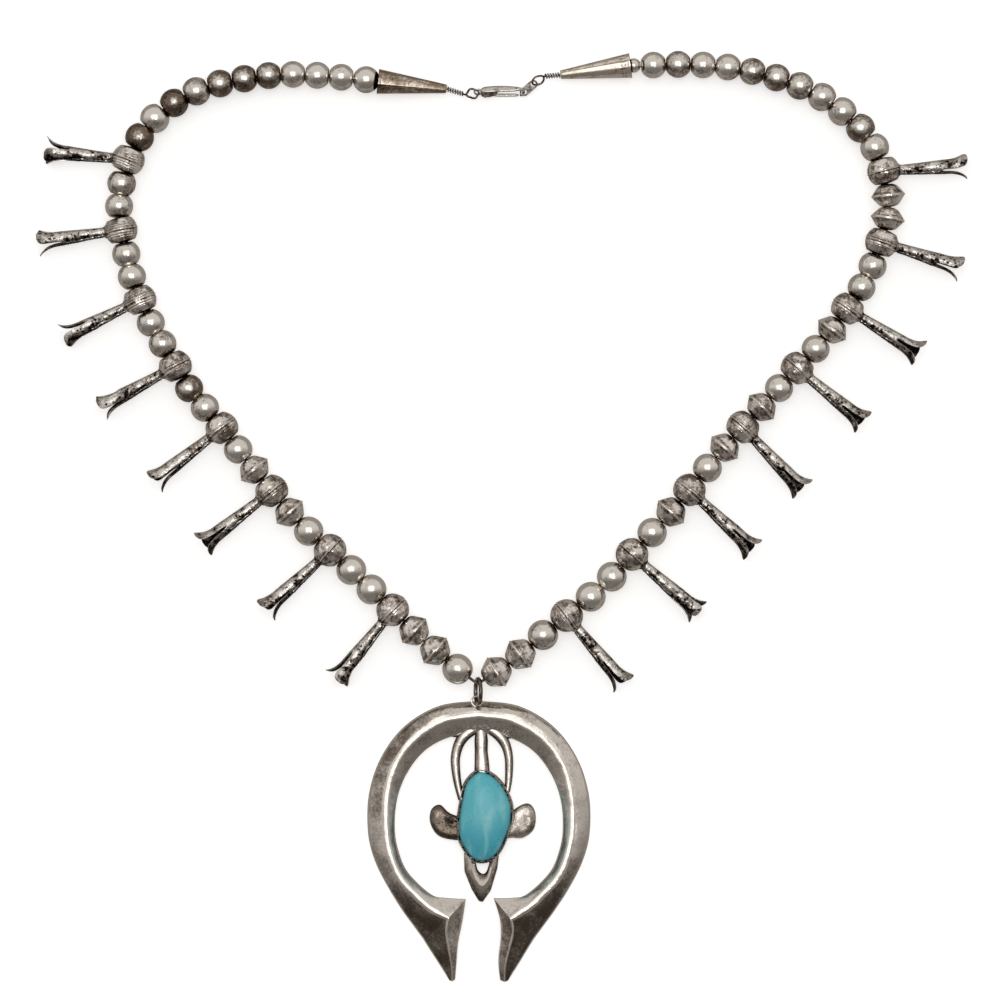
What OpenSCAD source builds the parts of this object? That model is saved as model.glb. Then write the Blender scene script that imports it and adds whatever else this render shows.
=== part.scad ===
// Squash blossom necklace, lying flat and closed on a table. Millimetres.
// X points to the right of the loop seen from above, Y from the pendant toward the clasp,
// Z up; z = 0 is the table. The beads are hollow and drilled; a thread runs through them all.

/* [Strand] */
// kinds of the left beads from the clasp to the pendant: r round, S blossom, b bicone
left_kinds = "rrrrrrrrrrrSrrSrrSrrSrrSrbSbrSrrSbbr";
// kinds of the right beads from the clasp to the pendant
right_kinds = "rrrrrrrrrrrSbbSrrSbrSrbSbrSbrSrrSrbb";
// length of a bead along the left string: [bead number, length]
left_lengths = [[0, 8.7], [1, 8.0], [8, 8.4], [13, 7.6], [18, 8.05], [24, 8.6], [30, 9.3], [35, 9.75]];
// length of a bead along the right string: [bead number, length]
right_lengths = [[0, 8.3], [8, 8.3], [13, 7.75], [18, 8.4], [24, 8.8], [30, 9.7], [35, 9.95]];
// diameter of the round beads, growing toward the pendant: [bead number, diameter]
round_sizes = [[0, 9.0], [4, 9.1], [9, 9.8], [14, 9.4], [20, 9.4], [28, 9.9], [35, 10.3]];
// how much longer a blossom bead is than its neighbours
blossom_extra = 0.8; // [0:0.1:2]
// gap left between two beads on the thread
bead_gap = 0.45; // [0.2:0.05:0.8]
// wall of the hollow beads
bead_wall = 0.55; // [0.3:0.05:1]
// radius of the drilled hole
bore_radius = 0.85; // [0.6:0.05:1.2]
// thread diameter
thread_diameter = 1.0; // [0.6:0.1:1.2]
// where the left string lies, from its cone to the bail ring
left_course = [
  [-40.8, 145.55], [-45.2, 146.1], [-53.6, 146.9], [-70, 147.9], [-86, 146.4], [-101.9, 142.3], [-116, 133],
  [-124.7, 119], [-127.6, 103.7], [-126.7, 95.7], [-124.7, 87.4], [-123.4, 79.7], [-120, 72.5], [-117.3, 65],
  [-112.6, 57.7], [-104, 42.6], [-98, 36.2], [-92.8, 29.6], [-87.2, 22.1], [-82, 15.4], [-75.6, 8.6],
  [-70.6, 1.4], [-56.7, -11], [-42.7, -24.4], [-28.5, -38.1], [-21.5, -44.9], [-14.1, -50.8], [-7.9, -55.2]];
// where the right string lies, from its cone to the bail ring
right_course = [
  [46.4, 150.7], [50.5, 150.9], [58.8, 151.2], [75.1, 150.4], [91.6, 146.8], [106.8, 140.5], [119.8, 129.8],
  [124.5, 123.6], [127.2, 115.7], [129, 107.5], [128.8, 99.4], [126.4, 91.6], [123.6, 83.8], [120.1, 76.6],
  [114.8, 69.8], [110, 62], [104.3, 56], [97.9, 49.8], [92.1, 42.7], [80.1, 30.2], [68.4, 16.5],
  [56.1, 1.6], [43, -12.4], [36.6, -20], [29.5, -26.6], [21.1, -32.8], [13.2, -39.3], [5.8, -46],
  [-2.1, -51.5], [-7.9, -55.2]];

/* [Bicone beads] */
// diameter of the raised rim
rim_diameter = 11.3; // [9:0.1:13]
// thickness of the rim
rim_thickness = 0.6; // [0.3:0.1:1]
// diameter of the domed halves where they meet the rim flare
dome_diameter = 9.4; // [7:0.1:10]
// diameter at the drilled ends
bicone_end = 4.8; // [3:0.1:7]

/* [Blossoms] */
// diameter of the bead body
blossom_diameter = 11.0; // [9:0.1:13]
// height of the soldered seam rib above the body
seam_rib = 0.3; // [0.1:0.05:0.6]
// stem diameter at the bead
stem_narrow = 3.3; // [2:0.1:4]
// stem diameter at the flower
stem_wide = 5.2; // [3:0.1:6]
// distance from bead centre to the flower's throat
stem_reach = 20; // [15:0.5:25]
// distance from bead centre to the petal tips near the clasp
petal_reach = 27.6; // [24:0.1:33]
// how much farther the petals reach beside the pendant
petal_growth = 2; // [0:0.1:4]
// radius of the ring the petal tips lie on
petal_spread = 4.7; // [3:0.1:6]
// width of the gaps between the petals at the flower's throat
throat_gap = 0.9; // [0.6:0.1:1.6]
// sheet thickness of stem and petals
sheet = 0.4; // [0.25:0.05:0.8]
// width of the open seam along the stem
seam_gap = 0.3; // [0.1:0.05:0.6]
// how far the stems sink toward the table, in degrees
stem_droop = 1.6; // [0:0.1:3]
// compass heading of each left blossom seen from above, from the clasp down
left_headings = [174, 188, 206, 209, 218, 218, 222.5, 231];
// compass heading of each right blossom
right_headings = [4, -17.5, -32, -39, -46.5, -43, -41, -50];
// turn of each left flower about its stem
left_turns = [20, -20, 25, -15, -35, 60, -40, 17];
// turn of each right flower about its stem
right_turns = [30, 30, 60, 52, 60, 66, 0, 45];

/* [Cones and wire eyes] */
// middle of the left cone's mouth
left_mouth = [-41.2, 145.5, 4.5];
// point of the left cone
left_point = [-18.3, 143.1, 3.1];
// middle of the right cone's mouth
right_mouth = [43, 150.8, 4.5];
// point of the right cone
right_point = [19.6, 147.8, 3.1];
// mouth diameter of a cone
cone_mouth = 8.3; // [6:0.1:10]
// diameter at a cone's point
cone_tip = 2.9; // [2:0.1:4]
// diameter of the small bead in the right cone's mouth
mouth_bead_diameter = 4.8; // [3:0.1:6]
// wire diameter of the eyes
eye_wire = 0.7; // [0.5:0.05:1]
// centre line radius of the left eye
left_eye_radius = 1.95; // [1.5:0.05:2.6]
// centre line radius of the right eye
right_eye_radius = 2.1; // [1.5:0.05:2.6]
// length of wire inside a cone's point
wire_start = 0.5; // [0.2:0.1:1]
// distance from a cone's point to the first turn of the wrapped neck
wrap_start = 0.6; // [0.5:0.05:1]
// turns of wire wrapped round the neck
wrap_turns = 6; // [3:1:9]
// distance from one turn of the wrap to the next
wrap_pitch = 0.78; // [0.7:0.01:0.9]
// centre line radius of the wrap
wrap_radius = 0.6; // [0.5:0.05:0.7]

/* [Clasp] */
// middle of the clasp
clasp_middle = [-0.6, 142.1, 2.75];
// how far the clasp leans over its lower edge, in degrees
clasp_lean = 55; // [30:1:80]
// thickness of the clasp body
clasp_thickness = 2.6; // [2:0.1:4]
// half thickness of the body along its spine: [from the middle, half thickness]
clasp_taper = [[-6.6, 0.9], [-5.9, 1.1], [-4.8, 1.25], [-1.5, 1.3], [2.5, 1.3], [5.5, 1], [9, 0.5]];
// half length from the middle to the eye's centre
clasp_eye_at = 7.2; // [6:0.1:9]
// thickness of the clasp's eye
eye_thickness = 1.0; // [0.8:0.1:1.4]
// radius of the hole in the clasp's eye
clasp_eye_hole = 1.0; // [0.6:0.05:1.2]
// centre of the hook's bend from the middle
hook_at = 6.4; // [5:0.1:8]
// centre line radius of the hook
hook_radius = 1.55; // [1.2:0.05:2]
// wire radius of the hook
hook_wire = 0.55; // [0.4:0.05:0.8]
// how far the hook bends round from the spine, in degrees
hook_turn = 162; // [140:1:170]
// how far the hook's wire runs on into the spine, in degrees
hook_sink = 4; // [1:1:8]
// lever thickness
lever_thickness = 1.3; // [0.8:0.1:1.8]
// pivot of the lever in the clasp's own plane
lever_pivot = [-3.6, -0.5];
// radius of the pivot pin
pin_radius = 0.4; // [0.3:0.05:0.6]
// clearance round moving faces
lever_play = 0.15; // [0.1:0.05:0.3]
// thickness of the chain tag
tag_thickness = 0.5; // [0.3:0.05:0.8]
// width of the chain tag
tag_width = 2.9; // [2:0.1:4]
// radius of the tag's holes
tag_hole = 0.95; // [0.6:0.05:1.2]
// how far the tag's hole lies outside the hook's centre line
tag_pull = 0.15; // [0:0.05:0.3]
// middle of the tag's upper hole from its lower hole
tag_span = [3.1, 2.7, -0.9];
// way the tag's face looks
tag_face = [0, 0.33, 0.99];

/* [Bail ring] */
// middle of the bail ring
bail_middle = [-7.8, -57.8, 4.85];
// centre line radius
bail_radius = 4.25; // [3:0.05:6]
// wire radius
bail_wire = 0.55; // [0.4:0.05:0.9]
// lean of the ring about the necklace's long axis, in degrees
bail_lean = 12; // [0:1:30]

/* [Naja] */
// middle of the crescent
naja_middle = [-7.6, -98.7];
// the crescent band from the top down: [turn, outer radius, ridge radius, inner radius, ridge height]
band = [
  [0, 37.6, 33.3, 26.8, 4.0], [20, 38.3, 33.5, 27.3, 4.0], [40, 38.3, 33.2, 27.7, 4.0],
  [60, 37.7, 32.7, 27.5, 4.0], [80, 37.3, 31.9, 27.7, 4.0], [100, 37.6, 31.9, 28.5, 4.0],
  [115, 38.2, 32.6, 29.6, 4.1], [130, 39.2, 33.9, 30.8, 4.2]];
// the pointed right end: [outer edge, ridge, inner edge, ridge height], from the crescent's middle
right_end = [
  [[25.3, -32.5], [18.5, -29.6], [16, -27], 4.4], [[21.8, -37.3], [14.8, -32.3], [11, -28.2], 4.6],
  [[18.5, -41.8], [10.7, -35], [5, -28.3], 4.8], [[16.3, -45.3], [11.4, -39.6], [7, -35], 4.3],
  [[13.4, -50.1], [10, -45.5], [7.3, -41.5], 3.4], [[11.3, -53.4], [8.8, -51], [6.5, -49], 2.4],
  [[9.9, -55.7], [8.6, -56.2], [7.1, -55.6], 1.4]];
// the pointed left end, measured toward the left
left_end = [
  [[25.5, -32.5], [18.5, -29.6], [16, -27], 4.4], [[22, -37.3], [14.8, -32.3], [11, -28.2], 4.6],
  [[18.7, -41.8], [10.1, -34.7], [4.4, -28.6], 4.8], [[16.5, -45.3], [10.8, -39.6], [5.4, -35.5], 4.3],
  [[13.4, -50.1], [10, -45.5], [6.9, -43.2], 3.4], [[11.3, -53.4], [9.1, -51], [7.5, -50.2], 2.4],
  [[9.9, -55.7], [8.9, -56], [7.9, -55.4], 1.4]];
// height of the crescent's edges
band_edge = 1.2; // [0.6:0.1:2]
// height of the bars, the leaves and the lower drop
ornament_height = 2.6; // [1.5:0.1:4]
// loop on top of the crescent: middle of its hole
naja_loop = [-8.3, -61.15];
// underside and top of the loop
loop_levels = [2.1, 2.9];
// radius of the loop's hole
loop_hole = 1.35; // [0.9:0.05:1.8]
// wall of the loop
loop_wall = 0.6; // [0.5:0.05:1.2]
// the middle bar from the crescent to the bezel: [x, y, width]
middle_bar = [[-6.6, -70, 8], [-6.8, -73.2, 5.4], [-6.8, -76, 4.4], [-6.7, -82, 4.7], [-6.6, -86, 5]];
// the left loop bar
left_bar = [
  [-10, -71, 3.4], [-13.4, -73.8, 3.4], [-15.3, -78, 3.2], [-15.5, -83, 3], [-14.9, -88, 2.6],
  [-13.4, -94, 2.2]];
// the right loop bar
right_bar = [
  [-3.4, -71, 3.4], [0.4, -73.6, 3.2], [2.2, -78, 2.9], [2.5, -83, 2.7], [2.3, -88, 2.3], [1.9, -91.5, 1.6]];
// outline of the left leaf
left_leaf = [
  [-12, -107], [-17, -107.4], [-21.5, -105.8], [-23.9, -101.5], [-23.4, -97.3], [-20.6, -95.8],
  [-17.6, -98.4], [-13, -101]];
// outline of the right leaf
right_leaf = [
  [0.5, -106.6], [3.6, -106.8], [7.2, -106.8], [10.8, -103.8], [11.3, -98.6], [9.3, -95.5], [6, -96.2],
  [2.5, -99.5]];
// outline of the lower drop
drop_outline = [
  [-12.6, -112], [-12.4, -118], [-10, -124], [-7.6, -128], [-6.3, -128.2], [-3.6, -124.4], [-1.4, -117],
  [-0.8, -112]];
// outline of the drop's pierced opening
drop_opening = [[-8.4, -113.5], [-8, -117.4], [-6.2, -118.9], [-4.8, -117.6], [-4.2, -113.5]];

/* [Turquoise] */
// outline of the stone
stone_outline = [
  [-7.1, -84.4], [-3.2, -85.7], [0.1, -88.9], [2.6, -93.6], [3.4, -97.3], [3, -102.3], [1.5, -106.6],
  [-0.6, -111], [-3.5, -113.9], [-7.1, -114.7], [-10, -113.5], [-12.6, -110.2], [-14.2, -106.6],
  [-14.6, -102.3], [-14, -97.3], [-13.3, -93.6], [-12.2, -89], [-10, -86]];
// height of the stone's top
stone_top = 7.6; // [5:0.1:10]
// height of the stone's straight side
stone_girdle = 3.6; // [2:0.1:6]
// underside of the stone in its cup
stone_seat = 1.4; // [0.8:0.1:3]
// wall of the bezel
bezel_wall = 0.5; // [0.3:0.05:1]
// height of the bezel's rim
bezel_top = 4.3; // [3:0.1:6]
// slack between the stone and its bezel
bezel_slack = 0.12; // [0.05:0.01:0.3]

/* [Hidden] */
round_fn = 48;
course_steps = 8;
outline_steps = 4;
band_steps = 3;
stone_profile = [[1, 0], [0.97, 0.25], [0.9, 0.5], [0.76, 0.72], [0.54, 0.88], [0.28, 0.97]];
silver = "#b9b4ac";
dark_silver = "#8d867c";
turquoise = "#4fa9b5";

// a smooth course through points
function bend(a, b, c, d, t) =
  0.5 * (2 * b + (c - a) * t + (2 * a - 5 * b + 4 * c - d) * t * t + (3 * b - a - 3 * c + d) * t * t * t);
function course(p, n) = [
  for (i = [0:len(p) - 2]) for (k = [0:n - 1])
    bend(p[max(i - 1, 0)], p[i], p[i + 1], p[min(i + 2, len(p) - 1)], k / n),
  p[len(p) - 1]];
function closed_course(p, n) = [
  for (i = [0:len(p) - 1]) for (k = [0:n - 1])
    bend(p[(i + len(p) - 1) % len(p)], p[i], p[(i + 1) % len(p)], p[(i + 2) % len(p)], k / n)];
function folded(p, first = 0) = concat(p, [for (i = [len(p) - 1:-1:first]) [p[i][0], -p[i][1]]]);
function sums(v) = [for (i = 0, s = 0; i <= len(v); s = s + (i < len(v) ? v[i] : 0), i = i + 1) s];
function steps(p) = [for (i = [0:len(p) - 2]) norm(p[i + 1] - p[i])];
function places(p) = let (s = sums(steps(p))) [
  [for (i = [0:len(p) - 1]) [s[i], p[i][0]]],
  [for (i = [0:len(p) - 1]) [s[i], p[i][1]]]];

// the string: where each bead begins and ends, each at the height of the bigger neighbour
function bead_length(kinds, lengths, i) = lookup(i, lengths) + (kinds[i] == "S" ? blossom_extra : 0);
function bead_radius(kinds, i) =
  kinds[i] == "S" ? blossom_diameter / 2 + seam_rib :
  kinds[i] == "b" ? rim_diameter / 2 : lookup(i, round_sizes) / 2;
function knots(kinds, lengths, guide) =
  let (at = places(course(guide, course_steps)),
       s = sums([for (i = [0:len(kinds) - 1]) bead_length(kinds, lengths, i)]))
  [for (i = [0:len(kinds)]) [
    lookup(s[i], at[0]), lookup(s[i], at[1]),
    max(bead_radius(kinds, max(i - 1, 0)), bead_radius(kinds, min(i, len(kinds) - 1)))]];
left_knots = knots(left_kinds, left_lengths, left_course);
right_knots = knots(right_kinds, right_lengths, right_course);
function found(kinds, kind) = [for (i = [0:len(kinds) - 1]) if (kinds[i] == kind) i];

// placing: a child's Z axis laid from one point to another, from its start or its middle
module lay(a, b, from = 0.5) {
  d = b - a;
  translate(a + from * d) rotate([0, acos(d[2] / norm(d)), atan2(d[1], d[0])]) children();
}
module in_frame(o, x, y) {
  u = x / norm(x);
  w = cross(x, y) / norm(cross(x, y));
  v = cross(w, u);
  multmatrix([[u[0], v[0], w[0], o[0]], [u[1], v[1], w[1], o[1]], [u[2], v[2], w[2], o[2]], [0, 0, 0, 1]])
    children();
}

// a ball flattened by shallow cones at its drilled ends, as a half section
module bead_half(diameter, length, end_radius) {
  slope = 0.24;
  reach = diameter / 2 + 1;
  drop = (reach - end_radius) * slope;
  intersection() {
    circle(d = diameter, $fn = round_fn);
    polygon([
      [0, -length / 2], [end_radius, -length / 2], [reach, -length / 2 + drop], [reach, length / 2 - drop],
      [end_radius, length / 2], [0, length / 2]]);
  }
}
module round_bead(diameter, length) {
  rotate_extrude($fn = round_fn) difference() {
    bead_half(diameter, length, bore_radius + 0.4);
    bead_half(diameter - 2 * bead_wall, length - 2 * bead_wall, bore_radius + 0.4);
    translate([0, -length]) square([bore_radius, 2 * length]);
  }
}
module round_beads(kinds, k) {
  for (i = found(kinds, "r")) lay(k[i], k[i + 1])
    round_bead(lookup(i, round_sizes), norm(k[i + 1] - k[i]) - bead_gap);
}
module bicone(a, b) {
  half = (norm(b - a) - bead_gap) / 2;
  rim = rim_thickness / 2;
  dome = dome_diameter / 2;
  shoulder = (dome + bicone_end / 2) / 2 + 0.35;
  shoulder_level = 0.68 * half;
  side = [
    [bore_radius, half], [bore_radius + 0.1, half], [bicone_end / 2, half - 0.35],
    [shoulder, shoulder_level], [dome, 0.32 * half], [dome + 0.65, rim + 0.2], [rim_diameter / 2, rim]];
  core = [
    [0, half - bead_wall], [bicone_end / 2 - 0.3, half - bead_wall],
    [shoulder - 0.5, shoulder_level - 0.3], [dome - 0.5, 0.25 * half]];
  lay(a, b) rotate_extrude($fn = round_fn) difference() {
    polygon(folded(side));
    polygon(folded(core));
  }
}
module nth_bicone(kinds, k, n) {
  i = found(kinds, "b")[n - 1];
  color(dark_silver) bicone(k[i], k[i + 1]);
}

// a squash blossom: ribbed two dome bead, seamed hollow stem, three petals; its stem points along +X
module stem_wall(reach, start) {
  inner = stem_wide / 2 - sheet;
  rotate([0, 90, 0]) rotate_extrude($fn = round_fn) polygon([
    [0, start], [stem_narrow / 2, start], [stem_wide / 2, stem_reach], [stem_wide / 2 + 0.25, reach - 4.2],
    [stem_wide / 2 + 1.1, reach - 1.6], [petal_spread, reach], [petal_spread - sheet, reach + 0.15],
    [inner + 1.1, reach - 1.4], [inner + 0.25, reach - 4.1], [inner, stem_reach],
    [stem_narrow / 2 - sheet, start + 1.5], [0, start + 1.5]]);
}
module petal_gap(reach) {
  gap = [
    [stem_reach - 1.6, 0], [stem_reach + 0.4, 0.5 * throat_gap], [reach - 4, 0.8 * throat_gap],
    [reach - 2, 1.1 * throat_gap], [reach - 0.8, 1.8 * throat_gap], [reach - 0.2, 2.6 * throat_gap],
    [reach + 1, 3.2 * throat_gap]];
  linear_extrude(height = petal_spread + 1) polygon(folded(gap, 1));
}
module stem(reach) {
  start = blossom_diameter / 2 - bead_wall - 0.1;
  difference() {
    stem_wall(reach, start);
    for (turn = [60, 180, 300]) rotate([turn, 0, 0]) petal_gap(reach);
    rotate([150, 0, 0]) translate([start + 2, -seam_gap / 2, 0])
      cube([stem_reach - start - 2.5, seam_gap, stem_wide]);
  }
}
module blossom(a, b, heading, turn, reach) {
  length = norm(b - a) - bead_gap;
  middle = (a + b) / 2;
  rib = blossom_diameter / 2 + seam_rib;
  difference() {
    union() {
      lay(a, b) rotate_extrude($fn = round_fn) {
        bead_half(blossom_diameter, length, bore_radius + 0.5);
        translate([0, -0.2]) square([rib, 0.4]);
        for (s = [-1, 1]) translate([0, s * 0.95 - 0.15]) square([rib - 0.15, 0.3]);
      }
      translate(middle) rotate([0, stem_droop, heading]) rotate([-turn, 0, 0]) stem(reach);
    }
    lay(a, b) rotate_extrude($fn = round_fn) {
      bead_half(blossom_diameter - 2 * bead_wall, length - 2 * bead_wall, bore_radius + 0.5);
      translate([0, -length]) square([bore_radius, 2 * length]);
    }
  }
}
module nth_blossom(kinds, k, headings, turns, n) {
  i = found(kinds, "S")[n - 1];
  reach = petal_reach + petal_growth * (n - 1) / (len(headings) - 1);
  color(dark_silver) blossom(k[i], k[i + 1], headings[n - 1], turns[n - 1], reach);
}
module left_blossom(n) nth_blossom(left_kinds, left_knots, left_headings, left_turns, n);
module right_blossom(n) nth_blossom(right_kinds, right_knots, right_headings, right_turns, n);

// the thread: a tube of six sides through every knot, ending inside the cones
module tube(p, radius, sides = 6) {
  ring = [for (i = [0:len(p) - 1])
    let (t = p[min(i + 1, len(p) - 1)] - p[max(i - 1, 0)], u = cross(t, [0, 0, 1]), v = cross(u, t))
    for (k = [0:sides - 1])
      p[i] + radius * (cos(360 * k / sides) * u / norm(u) + sin(360 * k / sides) * v / norm(v))];
  n = len(p);
  polyhedron(points = ring, faces = concat(
    [for (i = [0:n - 2]) for (k = [0:sides - 1])
      [i * sides + k, i * sides + (k + 1) % sides, (i + 1) * sides + (k + 1) % sides, (i + 1) * sides + k]],
    [[for (k = [sides - 1:-1:0]) k]], [[for (k = [0:sides - 1]) (n - 1) * sides + k]]));
}
left_end_of_course = left_course[len(left_course) - 1];
bail_knot = [left_end_of_course[0], left_end_of_course[1], bail_middle[2] + 0.3];
module thread() {
  color("#5d5750") tube(concat(
    [left_mouth + (left_point - left_mouth) * 0.5, left_mouth], left_knots, [bail_knot],
    [for (i = [len(right_knots) - 1:-1:0]) right_knots[i]],
    [right_mouth, right_mouth + (right_point - right_mouth) * 0.5]), thread_diameter / 2);
}

// sheet cone over an end of the string, open at its mouth and drilled at its point
module cone(mouth, point) {
  length = norm(point - mouth);
  color(silver) lay(mouth, point, 0) difference() {
    cylinder(h = length, d1 = cone_mouth, d2 = cone_tip, $fn = round_fn);
    translate([0, 0, -sheet])
      cylinder(h = length - 0.6, d1 = cone_mouth - 2 * sheet, d2 = cone_tip - 2 * sheet, $fn = round_fn);
    cylinder(h = length + 1, d = eye_wire + 0.5, $fn = round_fn);
  }
}
module mouth_bead() {
  start = right_knots[0];
  d = (right_mouth - start) / norm(right_mouth - start);
  color(silver) lay(start, start + d, mouth_bead_diameter / 2) rotate_extrude($fn = round_fn) difference() {
    bead_half(mouth_bead_diameter, mouth_bead_diameter - 0.5, bore_radius + 0.3);
    translate([0, -mouth_bead_diameter]) square([bore_radius, 2 * mouth_bead_diameter]);
  }
}

// a wire eye: ring, wrapped neck and the wire that goes into the cone
module wire_eye(middle, side, face, radius, point) {
  in_frame(middle, side, cross(face, side)) rotate_extrude($fn = round_fn)
    translate([radius, 0]) circle(d = eye_wire, $fn = round_fn);
  neck = middle - side / norm(side) * (radius + 0.1);
  run = (point - neck) / norm(point - neck);
  lay(neck, point, 0) cylinder(h = norm(point - neck) + wire_start, d = eye_wire, $fn = round_fn);
  for (i = [0:wrap_turns - 1]) lay(point - run * (wrap_start + i * wrap_pitch), point, 0)
    rotate_extrude($fn = round_fn) translate([wrap_radius, 0]) circle(d = eye_wire, $fn = round_fn);
}
clasp_up = [0, cos(clasp_lean), sin(clasp_lean)];
clasp_out = [0, -sin(clasp_lean), cos(clasp_lean)];
clasp_eye = clasp_middle + [-clasp_eye_at, 0, 0];
left_eye_side = [cos(20), -sin(20) * clasp_out[1], -sin(20) * clasp_out[2]];
left_eye_middle = clasp_eye - left_eye_side * left_eye_radius;
module wire_loop_left() {
  color(silver) wire_eye(left_eye_middle, left_eye_side, clasp_up, left_eye_radius, left_point);
}
tag_lower = clasp_middle + [hook_at + hook_radius + tag_pull, 0, 0];
tag_upper = tag_lower + tag_span;
right_eye_side = [-0.78, -0.6, -0.3];
right_eye_face = [0.56, -0.5, 0.62];
right_eye_middle = tag_upper - right_eye_side / norm(right_eye_side) * right_eye_radius;
module wire_loop_right() {
  color(silver) wire_eye(right_eye_middle, right_eye_side, right_eye_face, right_eye_radius, right_point);
}

// clasp, drawn in its own plane with X toward the hook and Y toward its spine
module in_clasp() in_frame(clasp_middle, [1, 0, 0], clasp_up) children();
module clasp_body() {
  body = [
    [-6.4, 1.0], [-5, 1.55], [-3, 1.95], [-0.5, 2.1], [2, 2.1], [4.5, 2.1],
    [hook_at, hook_radius + hook_wire], [hook_at, hook_radius - hook_wire], [4, 1.0], [1, 1.05],
    [-1.2, 0.5], [-1.6, -0.8], [-2.2, -1.6], [-5, -1.7], [-6.4, -1.0]];
  color(silver) in_clasp() {
    difference() {
      union() {
        intersection() {
          linear_extrude(height = clasp_thickness, center = true) polygon(body);
          rotate([90, 0, 0]) linear_extrude(height = 8, center = true) polygon(folded(clasp_taper));
        }
        translate([-clasp_eye_at, 0, 0])
          cylinder(h = eye_thickness, r = clasp_eye_hole + 0.55, center = true, $fn = round_fn);
        translate([-clasp_eye_at + clasp_eye_hole, -0.9, -eye_thickness / 2])
          cube([1.2, 1.8, eye_thickness]);
      }
      translate([-clasp_eye_at, 0, 0]) cylinder(h = 4, r = clasp_eye_hole, center = true, $fn = round_fn);
      slot = lever_thickness + 2 * lever_play;
      translate([-5.9, -3, -slot / 2]) cube([5.5, 4, slot]);
    }
    translate([hook_at, 0, 0]) rotate([0, 0, 90 - hook_turn])
      rotate_extrude(angle = hook_turn + hook_sink, $fn = round_fn)
        translate([hook_radius, 0]) circle(r = hook_wire, $fn = round_fn);
    translate(lever_pivot) cylinder(h = clasp_thickness, r = pin_radius, center = true, $fn = round_fn);
  }
}
module clasp_lever() {
  bar = [
    [-4.6, -1.0], [-5.5, -2.5], [-4.5, -2.7], [-3.4, -2.0], [0, -2.05], [hook_at + 0.05, -2.0],
    [hook_at + 0.05, -1.05], [0, -1.1], [-2.2, -0.3], [-2.8, 0.3], [-3.6, 0.45], [-4.4, 0.1]];
  color(silver) in_clasp() difference() {
    linear_extrude(height = lever_thickness, center = true) polygon(bar);
    translate(lever_pivot) cylinder(h = 4, r = pin_radius + 0.12, center = true, $fn = round_fn);
  }
}
module chain_tag() {
  length = norm(tag_span);
  color(silver) in_frame(tag_lower, tag_span, cross(tag_face, tag_span))
    linear_extrude(height = tag_thickness, center = true) difference() {
      union() {
        for (x = [0, length]) translate([x, 0]) circle(d = tag_width, $fn = round_fn);
        translate([0, -tag_width / 2]) square([length, tag_width]);
      }
      for (x = [0, length]) translate([x, 0]) circle(r = tag_hole, $fn = round_fn);
    }
}

// bail ring, standing with its bottom on the table
module bail_ring() {
  color(silver) translate(bail_middle) rotate([0, 90 + bail_lean, 0]) rotate_extrude($fn = round_fn)
    translate([bail_radius, 0]) circle(r = bail_wire, $fn = round_fn);
}

// the crescent: sections of five points from the left tip round to the right tip
function polar(r, a) = [r * sin(a), r * cos(a)];
half_band = [
  for (s = course(band, band_steps)) [polar(s[1], s[0]), polar(s[2], s[0]), polar(s[3], s[0]), s[4]]];
function mirrored(s) = [[-s[0][0], s[0][1]], [-s[1][0], s[1][1]], [-s[2][0], s[2][1]], s[3]];
crescent_sections = concat(
  [for (i = [len(left_end) - 1:-1:0]) mirrored(left_end[i])],
  [for (i = [len(half_band) - 1:-1:1]) mirrored(half_band[i])], half_band, right_end);
module crescent() {
  n = len(crescent_sections);
  p = [for (s = crescent_sections) each [
    [s[0][0], s[0][1], 0], [s[0][0], s[0][1], band_edge], [s[1][0], s[1][1], s[3]],
    [s[2][0], s[2][1], band_edge], [s[2][0], s[2][1], 0]]];
  translate([naja_middle[0], naja_middle[1], 0]) polyhedron(points = p, faces = concat(
    [for (i = [0:n - 2]) for (k = [0:4])
      let (a = i * 5 + k, b = i * 5 + (k + 1) % 5) each [[a, a + 5, b], [b, a + 5, b + 5]]],
    [[0, 1, 2, 3, 4]], [[for (k = [4:-1:0]) (n - 1) * 5 + k]]));
}

// a flat bar along a middle line with a width at each point
module bar(line) {
  rows = course(line, outline_steps);
  p = [for (s = rows) [s[0], s[1]]];
  n = len(p);
  side = [for (i = [0:n - 1])
    let (t = p[min(i + 1, n - 1)] - p[max(i - 1, 0)], q = [-t[1], t[0]] / norm(t)) q * rows[i][2] / 2];
  polygon(concat([for (i = [0:n - 1]) p[i] + side[i]], [for (i = [n - 1:-1:0]) p[i] - side[i]]));
}
function grown(p, d) = [for (i = [0:len(p) - 1])
  let (t = p[(i + 1) % len(p)] - p[(i + len(p) - 1) % len(p)]) p[i] + d * [t[1], -t[0]] / norm(t)];
stone_edge = closed_course(stone_outline, outline_steps);
stone_middle = [-5.7, -99.5];
module naja() {
  color(silver) difference() {
    union() {
      crescent();
      linear_extrude(height = ornament_height) {
        bar(middle_bar);
        bar(left_bar);
        bar(right_bar);
        polygon(closed_course(left_leaf, outline_steps));
        polygon(closed_course(right_leaf, outline_steps));
        difference() {
          polygon(drop_outline);
          polygon(drop_opening);
        }
      }
      linear_extrude(height = bezel_top) polygon(grown(stone_edge, -bezel_slack - bezel_wall));
      translate([naja_loop[0], naja_loop[1], loop_levels[0]])
        linear_extrude(height = loop_levels[1] - loop_levels[0]) {
          circle(r = loop_hole + loop_wall, $fn = round_fn);
          translate([-loop_hole, -loop_hole - loop_wall - 0.9]) square([2 * loop_hole, loop_hole + 0.9]);
        }
    }
    translate([0, 0, stone_seat - 0.1])
      linear_extrude(height = bezel_top) polygon(grown(stone_edge, -bezel_slack));
    translate([naja_loop[0], naja_loop[1], loop_levels[0] - 0.05])
      cylinder(h = 4, r = loop_hole, $fn = round_fn);
  }
}
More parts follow.
